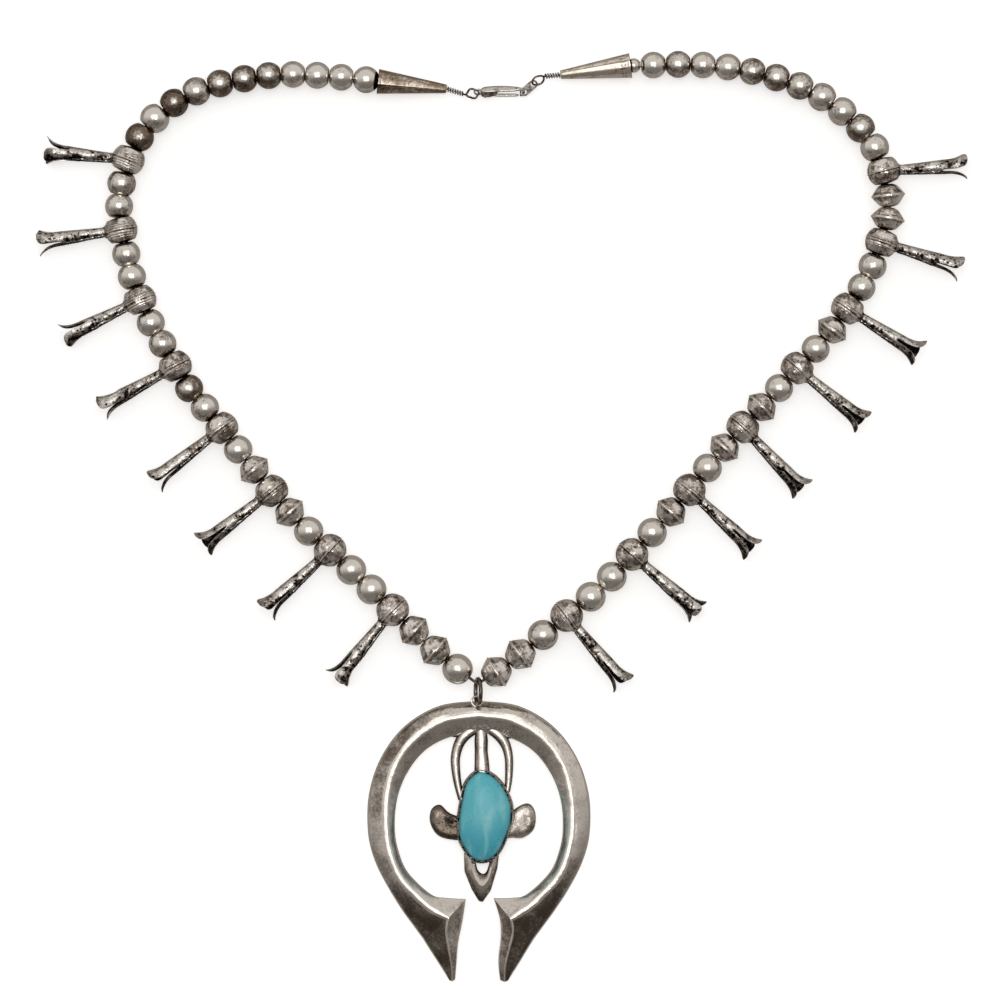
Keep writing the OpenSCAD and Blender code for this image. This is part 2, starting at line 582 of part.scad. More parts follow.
module turquoise_stone() {
  n = len(stone_edge);
  rings = concat(
    [[1, stone_seat]], [for (s = stone_profile) [s[0], stone_girdle + s[1] * (stone_top - stone_girdle)]]);
  p = concat(
    [for (r = rings) for (q = stone_edge)
      let (m = stone_middle + (q - stone_middle) * r[0]) [m[0], m[1], r[1]]],
    [[stone_middle[0], stone_middle[1], stone_top], [stone_middle[0], stone_middle[1], stone_seat]]);
  last = (len(rings) - 1) * n;
  top = len(rings) * n;
  color(turquoise) polyhedron(points = p, faces = concat(
    [for (r = [0:len(rings) - 2]) for (k = [0:n - 1])
      let (a = r * n + k, b = r * n + (k + 1) % n) each [[a, a + n, b], [b, a + n, b + n]]],
    [for (k = [0:n - 1]) [last + k, top, last + (k + 1) % n]],
    [for (k = [0:n - 1]) [(k + 1) % n, top + 1, k]]));
}

naja();
turquoise_stone();
bail_ring();
thread();
color(silver) round_beads(left_kinds, left_knots);  // round_beads_left
color(silver) round_beads(right_kinds, right_knots);  // round_beads_right
mouth_bead();
cone(left_mouth, left_point);  // cone_left
cone(right_mouth, right_point);  // cone_right
wire_loop_left();
wire_loop_right();
clasp_body();
clasp_lever();
chain_tag();
nth_bicone(left_kinds, left_knots, 1);  // bicone_left_1
nth_bicone(left_kinds, left_knots, 2);  // bicone_left_2
nth_bicone(left_kinds, left_knots, 3);  // bicone_left_3
nth_bicone(left_kinds, left_knots, 4);  // bicone_left_4
nth_bicone(right_kinds, right_knots, 1);  // bicone_right_1
nth_bicone(right_kinds, right_knots, 2);  // bicone_right_2
nth_bicone(right_kinds, right_knots, 3);  // bicone_right_3
nth_bicone(right_kinds, right_knots, 4);  // bicone_right_4
nth_bicone(right_kinds, right_knots, 5);  // bicone_right_5
nth_bicone(right_kinds, right_knots, 6);  // bicone_right_6
nth_bicone(right_kinds, right_knots, 7);  // bicone_right_7
nth_bicone(right_kinds, right_knots, 8);  // bicone_right_8
left_blossom(1);  // blossom_left_1
left_blossom(2);  // blossom_left_2
left_blossom(3);  // blossom_left_3
left_blossom(4);  // blossom_left_4
left_blossom(5);  // blossom_left_5
left_blossom(6);  // blossom_left_6
left_blossom(7);  // blossom_left_7
left_blossom(8);  // blossom_left_8
right_blossom(1);  // blossom_right_1
right_blossom(2);  // blossom_right_2
right_blossom(3);  // blossom_right_3
right_blossom(4);  // blossom_right_4
right_blossom(5);  // blossom_right_5
right_blossom(6);  // blossom_right_6
right_blossom(7);  // blossom_right_7
right_blossom(8);  // blossom_right_8
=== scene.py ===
import math

import bpy
import numpy as np
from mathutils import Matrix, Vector


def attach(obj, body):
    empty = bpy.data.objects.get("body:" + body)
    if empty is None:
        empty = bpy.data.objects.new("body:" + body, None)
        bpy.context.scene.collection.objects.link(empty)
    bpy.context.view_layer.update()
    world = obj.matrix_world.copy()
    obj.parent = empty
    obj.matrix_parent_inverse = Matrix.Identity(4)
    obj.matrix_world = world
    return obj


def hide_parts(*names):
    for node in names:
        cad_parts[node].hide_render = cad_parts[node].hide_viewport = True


# A hand-made squash blossom necklace lying on a pale table, seen from straight above.
# Lengths in this file are millimetres in the model's own frame; a piece is made in metres by MM.

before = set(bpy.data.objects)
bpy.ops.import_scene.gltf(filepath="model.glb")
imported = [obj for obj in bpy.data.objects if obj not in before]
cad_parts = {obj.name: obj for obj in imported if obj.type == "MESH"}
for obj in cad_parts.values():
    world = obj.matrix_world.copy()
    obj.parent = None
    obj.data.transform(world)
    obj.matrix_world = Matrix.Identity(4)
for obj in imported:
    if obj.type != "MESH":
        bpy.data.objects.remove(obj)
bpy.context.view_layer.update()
MM = 0.001
CAMERA_AT = (-0.53 * MM, 6.0 * MM, 1.604)  # 1.6 m above the beads, over the middle of the picture
TABLE_ACROSS = 6.0  # metres
chance = np.random.default_rng(7)


# camera, table and light

def camera_over_the_table():
    """The photograph's place: straight above the loop, 333 mm of the table across the picture."""
    eye = bpy.data.cameras.new("camera")
    eye.sensor_width = 36
    eye.lens = 172.8
    eye.clip_start = 0.05
    eye.clip_end = 20
    camera = bpy.data.objects.new("camera", eye)
    camera.location = CAMERA_AT
    bpy.context.scene.collection.objects.link(camera)
    bpy.context.scene.camera = camera


def hue(code):
    """An sRGB hex value as the linear colour that a shader takes."""
    channels = [int(code[i:i + 2], 16) / 255 for i in (1, 3, 5)]
    return tuple(c / 12.92 if c <= 0.04045 else ((c + 0.055) / 1.055) ** 2.4 for c in channels) + (1.0,)


def per(size):
    """A pattern's scale in metres for a feature of this size in millimetres."""
    return 1 / (size * MM)


def add(tree, kind, inputs=None, out=0, **settings):
    """Adds a shader node of a kind with its settings; an input is a value, or the socket that feeds it."""
    node = tree.nodes.new("ShaderNode" + kind)
    for key, value in settings.items():
        setattr(node, key, value)
    for key, value in (inputs or {}).items():
        if isinstance(value, bpy.types.NodeSocket):
            tree.links.new(value, node.inputs[key])
        else:
            node.inputs[key].default_value = value
    return node.outputs[out] if len(node.outputs) else node


def blank(name):
    """A new material and its tree, with nothing in it."""
    finish = bpy.data.materials.new(name)
    finish.use_nodes = True
    finish.node_tree.nodes.clear()
    return finish, finish.node_tree


def table(name, colour, glow, low):
    """A wide sheet of uncoated card, matt, so it takes soft shadows; low is how far it lies below 0."""
    finish, tree = blank(name)
    at = add(tree, "TexCoord", out="Object")
    # the felt of card is a tenth of a millimetre: drawn at 1.5 mm, because finer doesn't show
    grain = add(tree, "TexNoise", {"Vector": at, "Scale": per(1.5), "Detail": 3.0})
    bump = add(tree, "Bump", {"Strength": 0.05, "Distance": 0.05 * MM, "Height": grain})
    card = add(tree, "BsdfPrincipled", {
        "Base Color": hue(colour), "Roughness": 0.9, "Normal": bump,
        "Emission Color": hue("#ffffff"), "Emission Strength": glow})
    add(tree, "OutputMaterial", {"Surface": card})
    mesh = bpy.data.meshes.new(name)
    half = TABLE_ACROSS / 2
    corners = [(-half, -half, 0), (half, -half, 0), (half, half, 0), (-half, half, 0)]
    mesh.from_pydata(corners, [], [(0, 1, 2, 3)])
    mesh.materials.append(finish)
    top = bpy.data.objects.new(name, mesh)
    bpy.context.scene.collection.objects.link(top)
    top.location.z = -low * MM
    return top


def softbox(name, place, width, height, radiance):
    """A lamp behind a white sheet, turned toward the necklace; place and size in metres."""
    lamp = bpy.data.lights.new(name, "AREA")
    lamp.shape = "RECTANGLE"
    lamp.size = width
    lamp.size_y = height
    lamp.energy = radiance * math.pi * width * height
    holder = bpy.data.objects.new(name, lamp)
    holder.location = place
    holder.rotation_euler = (-Vector(place)).to_track_quat("-Z", "Y").to_euler()
    bpy.context.scene.collection.objects.link(holder)


def studio():
    """A pale room, bright beyond the clasp and dim beyond the pendant, a window and two lamps above."""
    world = bpy.data.worlds.new("room")
    bpy.context.scene.world = world
    world.use_nodes = True
    tree = world.node_tree
    tree.nodes.clear()
    way = add(tree, "TexCoord", out="Generated")
    side = add(tree, "VectorMath", {0: way, 1: (-0.05, 0.98, 0.12)}, out="Value",
               operation="DOT_PRODUCT")
    share = add(tree, "MapRange", {"Value": side, "From Min": -0.5, "From Max": 0.35},
                interpolation_type="SMOOTHSTEP")
    wall = add(tree, "Mix", {"Factor": share, "A": hue("#7a7673"), "B": hue("#d8d5d2")},
               out="Result", data_type="RGBA")
    shade = add(tree, "Background", {"Color": wall, "Strength": 1.0})
    add(tree, "OutputWorld", {"Surface": shade})
    softbox("window", (-0.03, 0.27, 2.0), 1.6, 1.3, 1.0)
    softbox("lamp_left", (-0.2, 0.2, 2.1), 0.1, 0.3, 13)
    softbox("lamp_right", (0.42, -0.3, 2.1), 0.15, 0.15, 12)
    bpy.context.scene.view_settings.view_transform = "Standard"
    # the camera sees the lit white card, the silver mirrors the duller one under it
    white = table("white_card", "#f8f7f6", 0.5, 0.02)
    white.visible_glossy = False
    grey = table("grey_under_card", "#a8a39e", 0.0, 0.3)
    grey.visible_camera = False
    grey.visible_diffuse = False


# finishes

def silver(name, clean, dull, black, gloss, dull_gloss, patch, fleck, pit, pit_depth, spread, soot_at,
           lean=0.0, dint=2.5, dint_depth=0.0, brushed=None):
    """Sterling silver: metal with its colour in the reflection, greyed by handling, browned by sulphide.

    clean, dull and black are the polished metal, the thin brown tarnish and the old black in pits.
    gloss and dull_gloss are the roughness of the first two. patch, fleck, pit and dint are the sizes in
    millimetres of the tarnish's clouds, of its specks, of the pits and of the hammer's soft dints.
    spread is how uneven the tarnish is, lean how much of it there is everywhere, and soot_at how
    tarnished a place is where the pits turn black. brushed is the stretch and the distance of the fine
    lines that polishing leaves. Real specks, pits and lines are a tenth of a millimetre or less: they are
    drawn 0.35 to 1.5 mm wide, because a point of the picture is a third of a millimetre.
    The piece's own marks say how tarnished (tarnish) and how rubbed (wear) each place is; on the round beads,
    the stems and the crescent the tarnish mark also carries painted shade.
    """
    finish, tree = blank(name)
    at = add(tree, "TexCoord", out="Object")
    tarnish = add(tree, "Attribute", out="Fac", attribute_name="tarnish")
    wear = add(tree, "Attribute", out="Fac", attribute_name="wear")
    cloud = add(tree, "TexNoise", {
        "Vector": at, "Scale": per(patch), "Detail": 5.0, "Roughness": 0.6})
    speck = add(tree, "TexNoise", {
        "Vector": at, "Scale": per(fleck), "Detail": 4.0, "Roughness": 0.65})
    hole = add(tree, "TexVoronoi", {"Vector": at, "Scale": per(pit), "Randomness": 1.0})
    # both patterns swing about their middle value, which is a half
    clouds = add(tree, "Math", {0: cloud, 1: 1.6 * spread, 2: lean - 0.8 * spread},
                 operation="MULTIPLY_ADD")
    flecks = add(tree, "Math", {0: speck, 1: 1.1 * spread, 2: -0.55 * spread},
                 operation="MULTIPLY_ADD")
    patches = add(tree, "Math", {0: clouds, 1: flecks}, operation="ADD")
    amount = add(tree, "Math", {0: tarnish, 1: patches}, operation="ADD")
    # what is rubbed loses its tarnish; the middle of each pit keeps the most
    rubbed = add(tree, "Math", {0: wear, 1: -0.9, 2: amount}, operation="MULTIPLY_ADD")
    brown = add(tree, "MapRange", {"Value": rubbed, "From Min": 0.0, "From Max": 0.8},
                interpolation_type="SMOOTHSTEP")
    deep = add(tree, "Math", {0: hole, 1: -1.1, 2: rubbed}, operation="MULTIPLY_ADD")
    soot = add(tree, "MapRange", {
        "Value": deep, "From Min": soot_at, "From Max": soot_at + 0.4}, interpolation_type="SMOOTHSTEP")
    tint = add(tree, "Mix", {"Factor": brown, "A": hue(clean), "B": hue(dull)},
               out="Result", data_type="RGBA")
    colour = add(tree, "Mix", {"Factor": soot, "A": tint, "B": hue(black)},
                 out="Result", data_type="RGBA")
    sheen = add(tree, "MapRange", {"Value": brown, "To Min": gloss, "To Max": dull_gloss})
    matt = add(tree, "Math", {0: soot, 1: 0.15, 2: sheen}, operation="MULTIPLY_ADD")
    relief = add(tree, "Math", {0: soot, 1: -1.0, 2: speck}, operation="MULTIPLY_ADD")
    normal = add(tree, "Bump", {"Strength": 0.7, "Distance": pit_depth * MM, "Height": relief})
    if dint_depth:
        dints = add(tree, "TexNoise", {"Vector": at, "Scale": per(dint), "Detail": 1.5})
        normal = add(tree, "Bump", {
            "Strength": 0.8, "Distance": dint_depth * MM, "Height": dints, "Normal": normal})
    if brushed:
        stretch, fine = brushed
        drawn = add(tree, "Mapping", {"Vector": at, "Scale": stretch})
        lines = add(tree, "TexNoise", {"Vector": drawn, "Scale": per(fine), "Detail": 2.0})
        normal = add(tree, "Bump", {
            "Strength": 0.25, "Distance": 0.05 * MM, "Height": lines, "Normal": normal})
    metal = add(tree, "BsdfPrincipled", {
        "Base Color": colour, "Metallic": 1.0, "Roughness": matt, "Normal": normal})
    add(tree, "OutputMaterial", {"Surface": metal})
    return finish


def hand_polished_silver():
    """Sheet silver pressed into half domes, soldered and buffed by hand: a pearly gloss, fine scratches."""
    return silver(
        "hand_polished_silver", "#e9e4dc", "#7d6d61", "#2e2622", gloss=0.16, dull_gloss=0.17, patch=3.6,
        fleck=0.9, pit=0.9, pit_depth=0.06, spread=1.1, soot_at=0.5, lean=-0.13, dint=3.5, dint_depth=0.12,
        brushed=((1.0, 0.25, 1.0), 0.5))


def stamped_silver():
    """Sheet silver struck with small dies before rolling, then blackened: bright lands, black stamps."""
    return silver(
        "stamped_silver", "#e2ded8", "#7f746a", "#181513", gloss=0.16, dull_gloss=0.26, patch=3.0,
        fleck=0.8, pit=1.25, pit_depth=0.18, spread=1.6, soot_at=-0.04, lean=0.25, dint=1.6, dint_depth=0.22)


def aged_silver():
    """Older handled silver, domed over a form: glossy brown-grey, rubbed bright on its raised lines."""
    return silver(
        "aged_silver", "#f0eae3", "#7f7166", "#241d1a", gloss=0.12, dull_gloss=0.16, patch=3.0,
        fleck=1.0, pit=1.2, pit_depth=0.06, spread=1.9, soot_at=0.42, lean=-0.04, dint=2.6, dint_depth=0.6)


def tufa_cast_silver():
    """Silver cast in a stone mould and filed: wide soft glossy planes, fine pores where it wasn't buffed."""
    return silver(
        "tufa_cast_silver", "#dfd8cf", "#6d6257", "#2a2521", gloss=0.17, dull_gloss=0.22, patch=9.0,
        fleck=0.9, pit=0.9, pit_depth=0.06, spread=0.9, soot_at=0.42, dint=7.0, dint_depth=0.45,
        brushed=((1.0, 0.3, 1.0), 0.6))


def bright_silver(name="bright_silver", lean=0.0):
    """Machine-made sterling findings, tumbled bright, grey where the tumbling media didn't reach."""
    return silver(
        name, "#d8d4ce", "#6b5f56", "#211c19", gloss=0.16, dull_gloss=0.26, patch=1.8, fleck=0.7, pit=1.0,
        pit_depth=0.04, spread=1.3, soot_at=0.4, lean=lean, dint=1.2, dint_depth=0.05)


def rolled_silver():
    """Thin sheet rolled into a cone and burnished along its length: warm grey, long draw lines."""
    return silver(
        "rolled_silver", "#ebe1d3", "#8d7b68", "#2c2520", gloss=0.18, dull_gloss=0.25, patch=4.0,
        fleck=1.0, pit=1.5, pit_depth=0.03, spread=1.0, soot_at=0.5, lean=0.08,
        brushed=((0.15, 1.0, 1.0), 0.35))


def polished_turquoise():
    """Turquoise cut as a cabochon and waxed: opaque blue-green, its colour in soft upright streaks."""
    finish, tree = blank("polished_turquoise")
    at = add(tree, "TexCoord", out="Object")
    upright = add(tree, "Mapping", {
        "Vector": at, "Scale": (1.0, 0.26, 1.0), "Rotation": (0, 0, 0.16)})
    streak = add(tree, "TexNoise", {
        "Vector": upright, "Scale": per(4.2), "Detail": 4.0, "Roughness": 0.5, "Distortion": 0.7})
    grain = add(tree, "TexNoise", {"Vector": at, "Scale": per(1.1), "Detail": 5.0})
    pale = add(tree, "MapRange", {"Value": streak, "From Min": 0.47, "From Max": 0.72},
               interpolation_type="SMOOTHSTEP")
    height = add(tree, "SeparateXYZ", {"Vector": at}, out="Y")
    low = add(tree, "MapRange", {"Value": height, "From Min": -0.096, "From Max": -0.11},
              interpolation_type="SMOOTHSTEP")
    body = add(tree, "Mix", {"Factor": low, "A": hue("#57c0cf"), "B": hue("#49b1c5")},
               out="Result", data_type="RGBA")
    streaked = add(tree, "Mix", {"Factor": pale, "A": body, "B": hue("#7fcfd6")},
                   out="Result", data_type="RGBA")
    vein = add(tree, "MapRange", {
        "Value": grain, "From Min": 0.58, "From Max": 0.76, "To Max": 0.5})
    colour = add(tree, "Mix", {"Factor": vein, "A": streaked, "B": hue("#278ba3")},
                 out="Result", data_type="RGBA")
    normal = add(tree, "Bump", {"Strength": 0.15, "Distance": 0.05 * MM, "Height": grain})
    stone = add(tree, "BsdfPrincipled", {
        "Base Color": colour, "Roughness": 0.28, "IOR": 1.61, "Normal": normal,
        "Subsurface Weight": 0.06, "Subsurface Radius": (0.4, 0.8, 1.0), "Subsurface Scale": 0.6 * MM})
    add(tree, "OutputMaterial", {"Surface": stone})
    return finish


def steel_cable():
    """Bead cable: twisted steel strands, grey, only seen in the gaps between the beads."""
    finish, tree = blank("steel_cable")
    at = add(tree, "TexCoord", out="Object")
    # the strands are 0.2 mm wires: drawn at 1.6 mm, because finer doesn't show
    strand = add(tree, "TexWave", {"Vector": at, "Scale": per(1.6), "Distortion": 0.5},
                 bands_direction="DIAGONAL")
    # painted shade: the tint is dark in the grooves between the strands and light on their crowns, following
    # the same waves as the bump
    tint = add(tree, "Mix", {"Factor": strand, "A": hue("#3a3531"), "B": hue("#7a736b")},
               out="Result", data_type="RGBA")
    normal = add(tree, "Bump", {"Strength": 0.5, "Distance": 0.1 * MM, "Height": strand})
    steel = add(tree, "BsdfPrincipled", {
        "Base Color": tint, "Metallic": 1.0, "Roughness": 0.45, "Normal": normal})
    add(tree, "OutputMaterial", {"Surface": steel})
    return finish


# shaping

def bend(a, b, c, d, t):
    """A place at t between b and c on the smooth curve through a, b, c and d."""
    square = 2 * a - 5 * b + 4 * c - d
    cube = 3 * b - a - 3 * c + d
    return 0.5 * (2 * b + (c - a) * t + square * t * t + cube * t ** 3)


def course(points, steps):
    """A smooth course through points."""
    p = [np.array(q, float) for q in points]
    last = len(p) - 1
    line = [bend(p[max(i - 1, 0)], p[i], p[i + 1], p[min(i + 2, last)], k / steps)
            for i in range(last) for k in range(steps)]
    return np.array(line + [p[last]])


def closed_course(points, steps):
    """A smooth course round through points and back to the first."""
    p = [np.array(q, float) for q in points]
    n = len(p)
    return np.array([bend(p[i - 1], p[i], p[(i + 1) % n], p[(i + 2) % n], k / steps)
                     for i in range(n) for k in range(steps)])


def unit(v):
    """A way of length 1."""
    v = np.array(v, float)
    return v / np.linalg.norm(v)


def around(count):
    """Evenly spaced turns round a circle, in radians."""
    return np.arange(count) * 2 * math.pi / count


def circle(count):
    """Evenly spaced ways round a circle."""
    turns = around(count)
    return np.stack([np.cos(turns), np.sin(turns)], 1)


def ring_at(places, height):
    """Places in the plane as points at one height, or at a height each."""
    return np.column_stack([places, np.broadcast_to(height, len(places))])


def beside(line):
    """The way square to a line in the plane, at each of its points."""
    ahead = np.gradient(line[:, :2], axis=0)
    ahead /= np.linalg.norm(ahead, axis=1)[:, None]
    return np.stack([-ahead[:, 1], ahead[:, 0]], 1)


def hump(x, middle, wide):
    """A soft hump: 1 at its middle, a third of that this wide of it."""
    return np.exp(-((x - middle) / wide) ** 2)


def ramp(x, start, length):
    """0 up to the start, and 1 from a length beyond it on."""
    return np.clip((x - start) / length, 0, 1)


def laid(a, b, share=0.5):
    """The turn and the place that lay a piece's Z axis from a to b."""
    a, b = np.array(a, float), np.array(b, float)
    d = unit(b - a)
    turn = about("z", math.degrees(math.atan2(d[1], d[0]))) @ about("y", math.degrees(math.acos(d[2])))
    return turn, a + share * (b - a)


def about(axis, degrees):
    """The turn about an axis."""
    c, s = math.cos(math.radians(degrees)), math.sin(math.radians(degrees))
    return {
        "x": np.array([[1, 0, 0], [0, c, -s], [0, s, c]]),
        "y": np.array([[c, 0, s], [0, 1, 0], [-s, 0, c]]),
        "z": np.array([[c, -s, 0], [s, c, 0], [0, 0, 1]])}[axis]


def grid(rows, closed=False, flip=False):
    """Faces between rows of points of one length; closed joins each row's ends."""
    count, wide = rows.shape[0], rows.shape[1]
    i = np.arange(count - 1)[:, None] * wide
    j = np.arange(wide if closed else wide - 1)[None, :]
    k = (j + 1) % wide
    quads = np.stack([i + j, i + k, i + wide + k, i + wide + j], -1).reshape(-1, 4)
    return rows.reshape(-1, 3), (quads[:, ::-1] if flip else quads)


def fan(row, n, middle, flip=False):
    """Triangles from a row of n points to a middle point."""
    ring = [(row * n + i, row * n + (i + 1) % n) for i in range(n)]
    return [[b, a, middle] if flip else [a, b, middle] for a, b in ring]


def turned(profile, sides, uneven=0.0):
    """A profile of radius and height turned round Z, as rows of points."""
    profile = np.array(profile, float)
    angle = around(sides)
    r, z = profile[:, :1], np.repeat(profile[:, 1:], sides, 1)
    if uneven:
        first, second = chance.uniform(0, 2 * math.pi, 2)
        r = r * (1 + uneven * np.cos(2 * angle + first) + 0.6 * uneven * np.cos(3 * angle + second + 0.3 * z))
    return np.stack([r * np.cos(angle), r * np.sin(angle), z], -1)


def marks(points, tarnish=0.0, wear=0.0):
    """How tarnished and how rubbed each point is; on some pieces the tarnish also carries painted shade."""
    both = np.zeros((len(points), 2))
    both[:, 0], both[:, 1] = tarnish, wear
    return both


def piece(name, parts, finish, slot, *nodes, body="necklace", crease=40):
    """One object from parts, each its points, faces and marks, standing for CAD nodes; crease in degrees."""
    points, faces, marked, start = [], [], [], 0
    for p, f, m in parts:
        points.append(p)
        marked.append(m)
        faces += [[i + start for i in face] for face in (f if isinstance(f, list) else f.tolist())]
        start += len(p)
    mesh = bpy.data.meshes.new(name)
    mesh.from_pydata((np.concatenate(points) * MM).tolist(), [], faces)
    marked = np.concatenate(marked).astype(np.float32)
    for i, word in enumerate(("tarnish", "wear")):
        mesh.attributes.new(word, "FLOAT", "POINT").data.foreach_set("value", marked[:, i].copy())
    mesh.polygons.foreach_set("use_smooth", [True] * len(mesh.polygons))
    mesh.set_sharp_from_angle(angle=math.radians(crease))
    mesh.materials.append(finish)
    made = bpy.data.objects.new(name, mesh)
    bpy.context.scene.collection.objects.link(made)
    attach(made, body)
    if nodes:
        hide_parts(*nodes)
    return made


def wire(line, radius, sides=12, closed=False):
    """Round wire along a line of points."""
    p = np.array(line, float)
    ahead = np.roll(p, -1, 0) - np.roll(p, 1, 0)
    if not closed:
        ahead[0], ahead[-1] = p[1] - p[0], p[-1] - p[-2]
    u = None
    rows = []
    a = around(sides)[:, None]
    for q, t in zip(p, ahead):
        t = unit(t)
        u = unit(np.cross(t, (0.3, 0.2, 0.93))) if u is None else unit(u - t * (u @ t))
        rows.append(q + radius * (np.cos(a) * u + np.sin(a) * np.cross(t, u)))
    if closed:
        rows.append(rows[0])
    return grid(np.array(rows), closed=True)


# the strand

# r is a round bead, S a squash blossom, b a bicone, from the clasp down
LEFT_KINDS = "rrrrrrrrrrrSrrSrrSrrSrrSrbSbrSrrSbbr"
RIGHT_KINDS = "rrrrrrrrrrrSbbSrrSbrSrbSbrSbrSrrSrbb"
# bead number and its length, or its diameter
LEFT_LENGTHS = [(0, 8.7), (1, 8.0), (8, 8.4), (13, 7.6), (18, 8.05), (24, 8.6), (30, 9.3), (35, 9.75)]
RIGHT_LENGTHS = [(0, 8.3), (8, 8.3), (13, 7.75), (18, 8.4), (24, 8.8), (30, 9.7), (35, 9.95)]
ROUND_SIZES = [(0, 9.0), (4, 9.1), (9, 9.8), (14, 9.4), (20, 9.4), (28, 9.9), (35, 10.3)]
LEFT_COURSE = [
    (-40.8, 145.55), (-45.2, 146.1), (-53.6, 146.9), (-70, 147.9), (-86, 146.4), (-101.9, 142.3), (-116, 133),
    (-124.7, 119), (-127.6, 103.7), (-126.7, 95.7), (-124.7, 87.4), (-123.4, 79.7), (-120, 72.5),
    (-117.3, 65), (-112.6, 57.7), (-104, 42.6), (-98, 36.2), (-92.8, 29.6), (-87.2, 22.1), (-82, 15.4),
    (-75.6, 8.6), (-70.6, 1.4), (-56.7, -11), (-42.7, -24.4), (-28.5, -38.1), (-21.5, -44.9),
    (-14.1, -50.8), (-7.9, -55.2)]
RIGHT_COURSE = [
    (46.4, 150.7), (50.5, 150.9), (58.8, 151.2), (75.1, 150.4), (91.6, 146.8), (106.8, 140.5), (119.8, 129.8),
    (124.5, 123.6), (127.2, 115.7), (129, 107.5), (128.8, 99.4), (126.4, 91.6), (123.6, 83.8), (120.1, 76.6),
    (114.8, 69.8), (110, 62), (104.3, 56), (97.9, 49.8), (92.1, 42.7), (80.1, 30.2), (68.4, 16.5),
    (56.1, 1.6), (43, -12.4), (36.6, -20), (29.5, -26.6), (21.1, -32.8), (13.2, -39.3), (5.8, -46),
    (-2.1, -51.5), (-7.9, -55.2)]
BLOSSOM_EXTRA = 0.8  # how much longer a blossom bead is than its neighbours
BORE = 0.85  # radius of the drilled hole
BETWEEN = 0.14  # gap left between two beads
BLOSSOM_ACROSS = 11.0
SEAM_RIB = 0.3  # how far a blossom bead's seam stands out
SEAM_BAND = 3.2  # half the width of the band with raised lines
RIM_ACROSS = 11.3  # a bicone's rim
BICONE_END = 4.8
BEAD_ROWS = 34
HOLE_DEPTH = 1.4  # how far in the drilled hole is made
# how tarnished each bead is, from the clasp down: 0 is freshly rubbed, 1 is brown-black
LEFT_TARNISH = [
    0.02, 0.05, 0.1, 0.12, 0.75, 0.78, 0.7, 0.48, 1.15, 0.15, 1.05, 0.25,
    0.45, 0.2, 0.35, 0.1, 0.15, 0.35, 0.15, 0.3,
    0.35, 0.75, 0.2, 0.4, 0.05, 0.5, 0.45, 0.5, 0.0, 0.4, 0.0, 0.0, 0.4, 0.5, 0.5, 0.05]
RIGHT_TARNISH = [
    0.08, 0.45, 0.1, 0.2, 0.55, 0.5, 0.5, 0.2, 0.15, 0.65, 0.15, 0.4,
    0.4, 0.4, 0.4, 0.2, 0.2, 0.4, 0.45, 0.15,
    0.4, 0.05, 0.55, 0.4, 0.5, 0.1, 0.45, 0.55, 0.0, 0.45, 0.0, 0.0, 0.45, 0.25, 0.4, 0.35]


def looked_up(x, pairs):
    """The value at x between the pairs of place and value."""
    return float(np.interp(x, [p[0] for p in pairs], [p[1] for p in pairs]))


def bead_radius(kinds, i):
    """The widest radius of a bead: how high it lies on the table."""
    wide = {"S": BLOSSOM_ACROSS / 2 + SEAM_RIB, "b": RIM_ACROSS / 2}
    return wide.get(kinds[i], looked_up(i, ROUND_SIZES) / 2)


def numbers(kinds, kind):
    """The numbers of the beads of one kind, from the clasp down."""
    return [i for i, k in enumerate(kinds) if k == kind]


def knots(kinds, lengths, guide):
    """Where each bead begins and ends on the string."""
    line = course(guide, 8)
    run = np.concatenate([[0], np.cumsum(np.linalg.norm(np.diff(line, axis=0), axis=1))])
    ends = np.concatenate([[0], np.cumsum([
        looked_up(i, lengths) + (BLOSSOM_EXTRA if k == "S" else 0) for i, k in enumerate(kinds)])])
    last = len(kinds) - 1
    return [np.array([np.interp(s, run, line[:, 0]), np.interp(s, run, line[:, 1]),
                      max(bead_radius(kinds, max(i - 1, 0)), bead_radius(kinds, min(i, last)))])
            for i, s in enumerate(ends)]


def bead_side(across, length, end, rows, slope=0.14):
    """A ball flattened by shallow cones at its drilled ends, as radius and height."""
    tight = 11  # how short the turn from ball to cone is
    z = length / 2 * np.sin(np.linspace(-math.pi / 2, math.pi / 2, rows))
    ball = np.sqrt(np.maximum((across / 2) ** 2 - z ** 2, 0))
    cone_side = end + (length / 2 - abs(z)) / slope
    r = -np.log(np.exp(-tight * ball) + np.exp(-tight * cone_side)) / tight
    return np.stack([np.maximum(r, end * 0.9), z], 1)


def drilled(side):
    """A bead's outer side with the drilled hole turned in at both ends."""
    low, high = side[0], side[-1]
    return np.concatenate([
        [[BORE, low[1] + HOLE_DEPTH], [BORE, low[1] + 0.12], [BORE + 0.1, low[1] + 0.02]], side,
        [[BORE + 0.1, high[1] - 0.02], [BORE, high[1] - 0.12], [BORE, high[1] - HOLE_DEPTH]]])


def round_beads(kinds, ends, tarnish):
    """A row of hollow beads, each two soldered domes with a faint line where they meet."""
    parts = []
    for i in numbers(kinds, "r"):
        a, b = ends[i], ends[i + 1]
        length = np.linalg.norm(b - a) - BETWEEN
        side = bead_side(looked_up(i, ROUND_SIZES) - 0.06, length, BORE + 0.75, BEAD_ROWS)
        side[:, 0] -= hump(side[:, 1], 0, 0.12) * 0.04
        turn, place = laid(a, b)
        p, f = grid(turned(drilled(side), 56, 0.008), closed=True)
        hole = ramp(np.abs(p[:, 2]), length * 0.4, length * 0.1)
        p = p @ turn.T
        # painted shade: the side toward the pendant, which faces the dim side of the room, is marked more
        # tarnished so it comes out browner and darker; rubbed bright on top
        painted_shade_side = ramp(-p[:, 1], 0, 5)
        rubbed = np.clip(p[:, 2] / p[:, 2].max() * 8 - 6.8, 0, 1) * min(tarnish[i], 0.7)
        parts.append((p + place, f, marks(p, tarnish[i] + 0.5 * hole + 0.25 * painted_shade_side, rubbed)))
    return parts


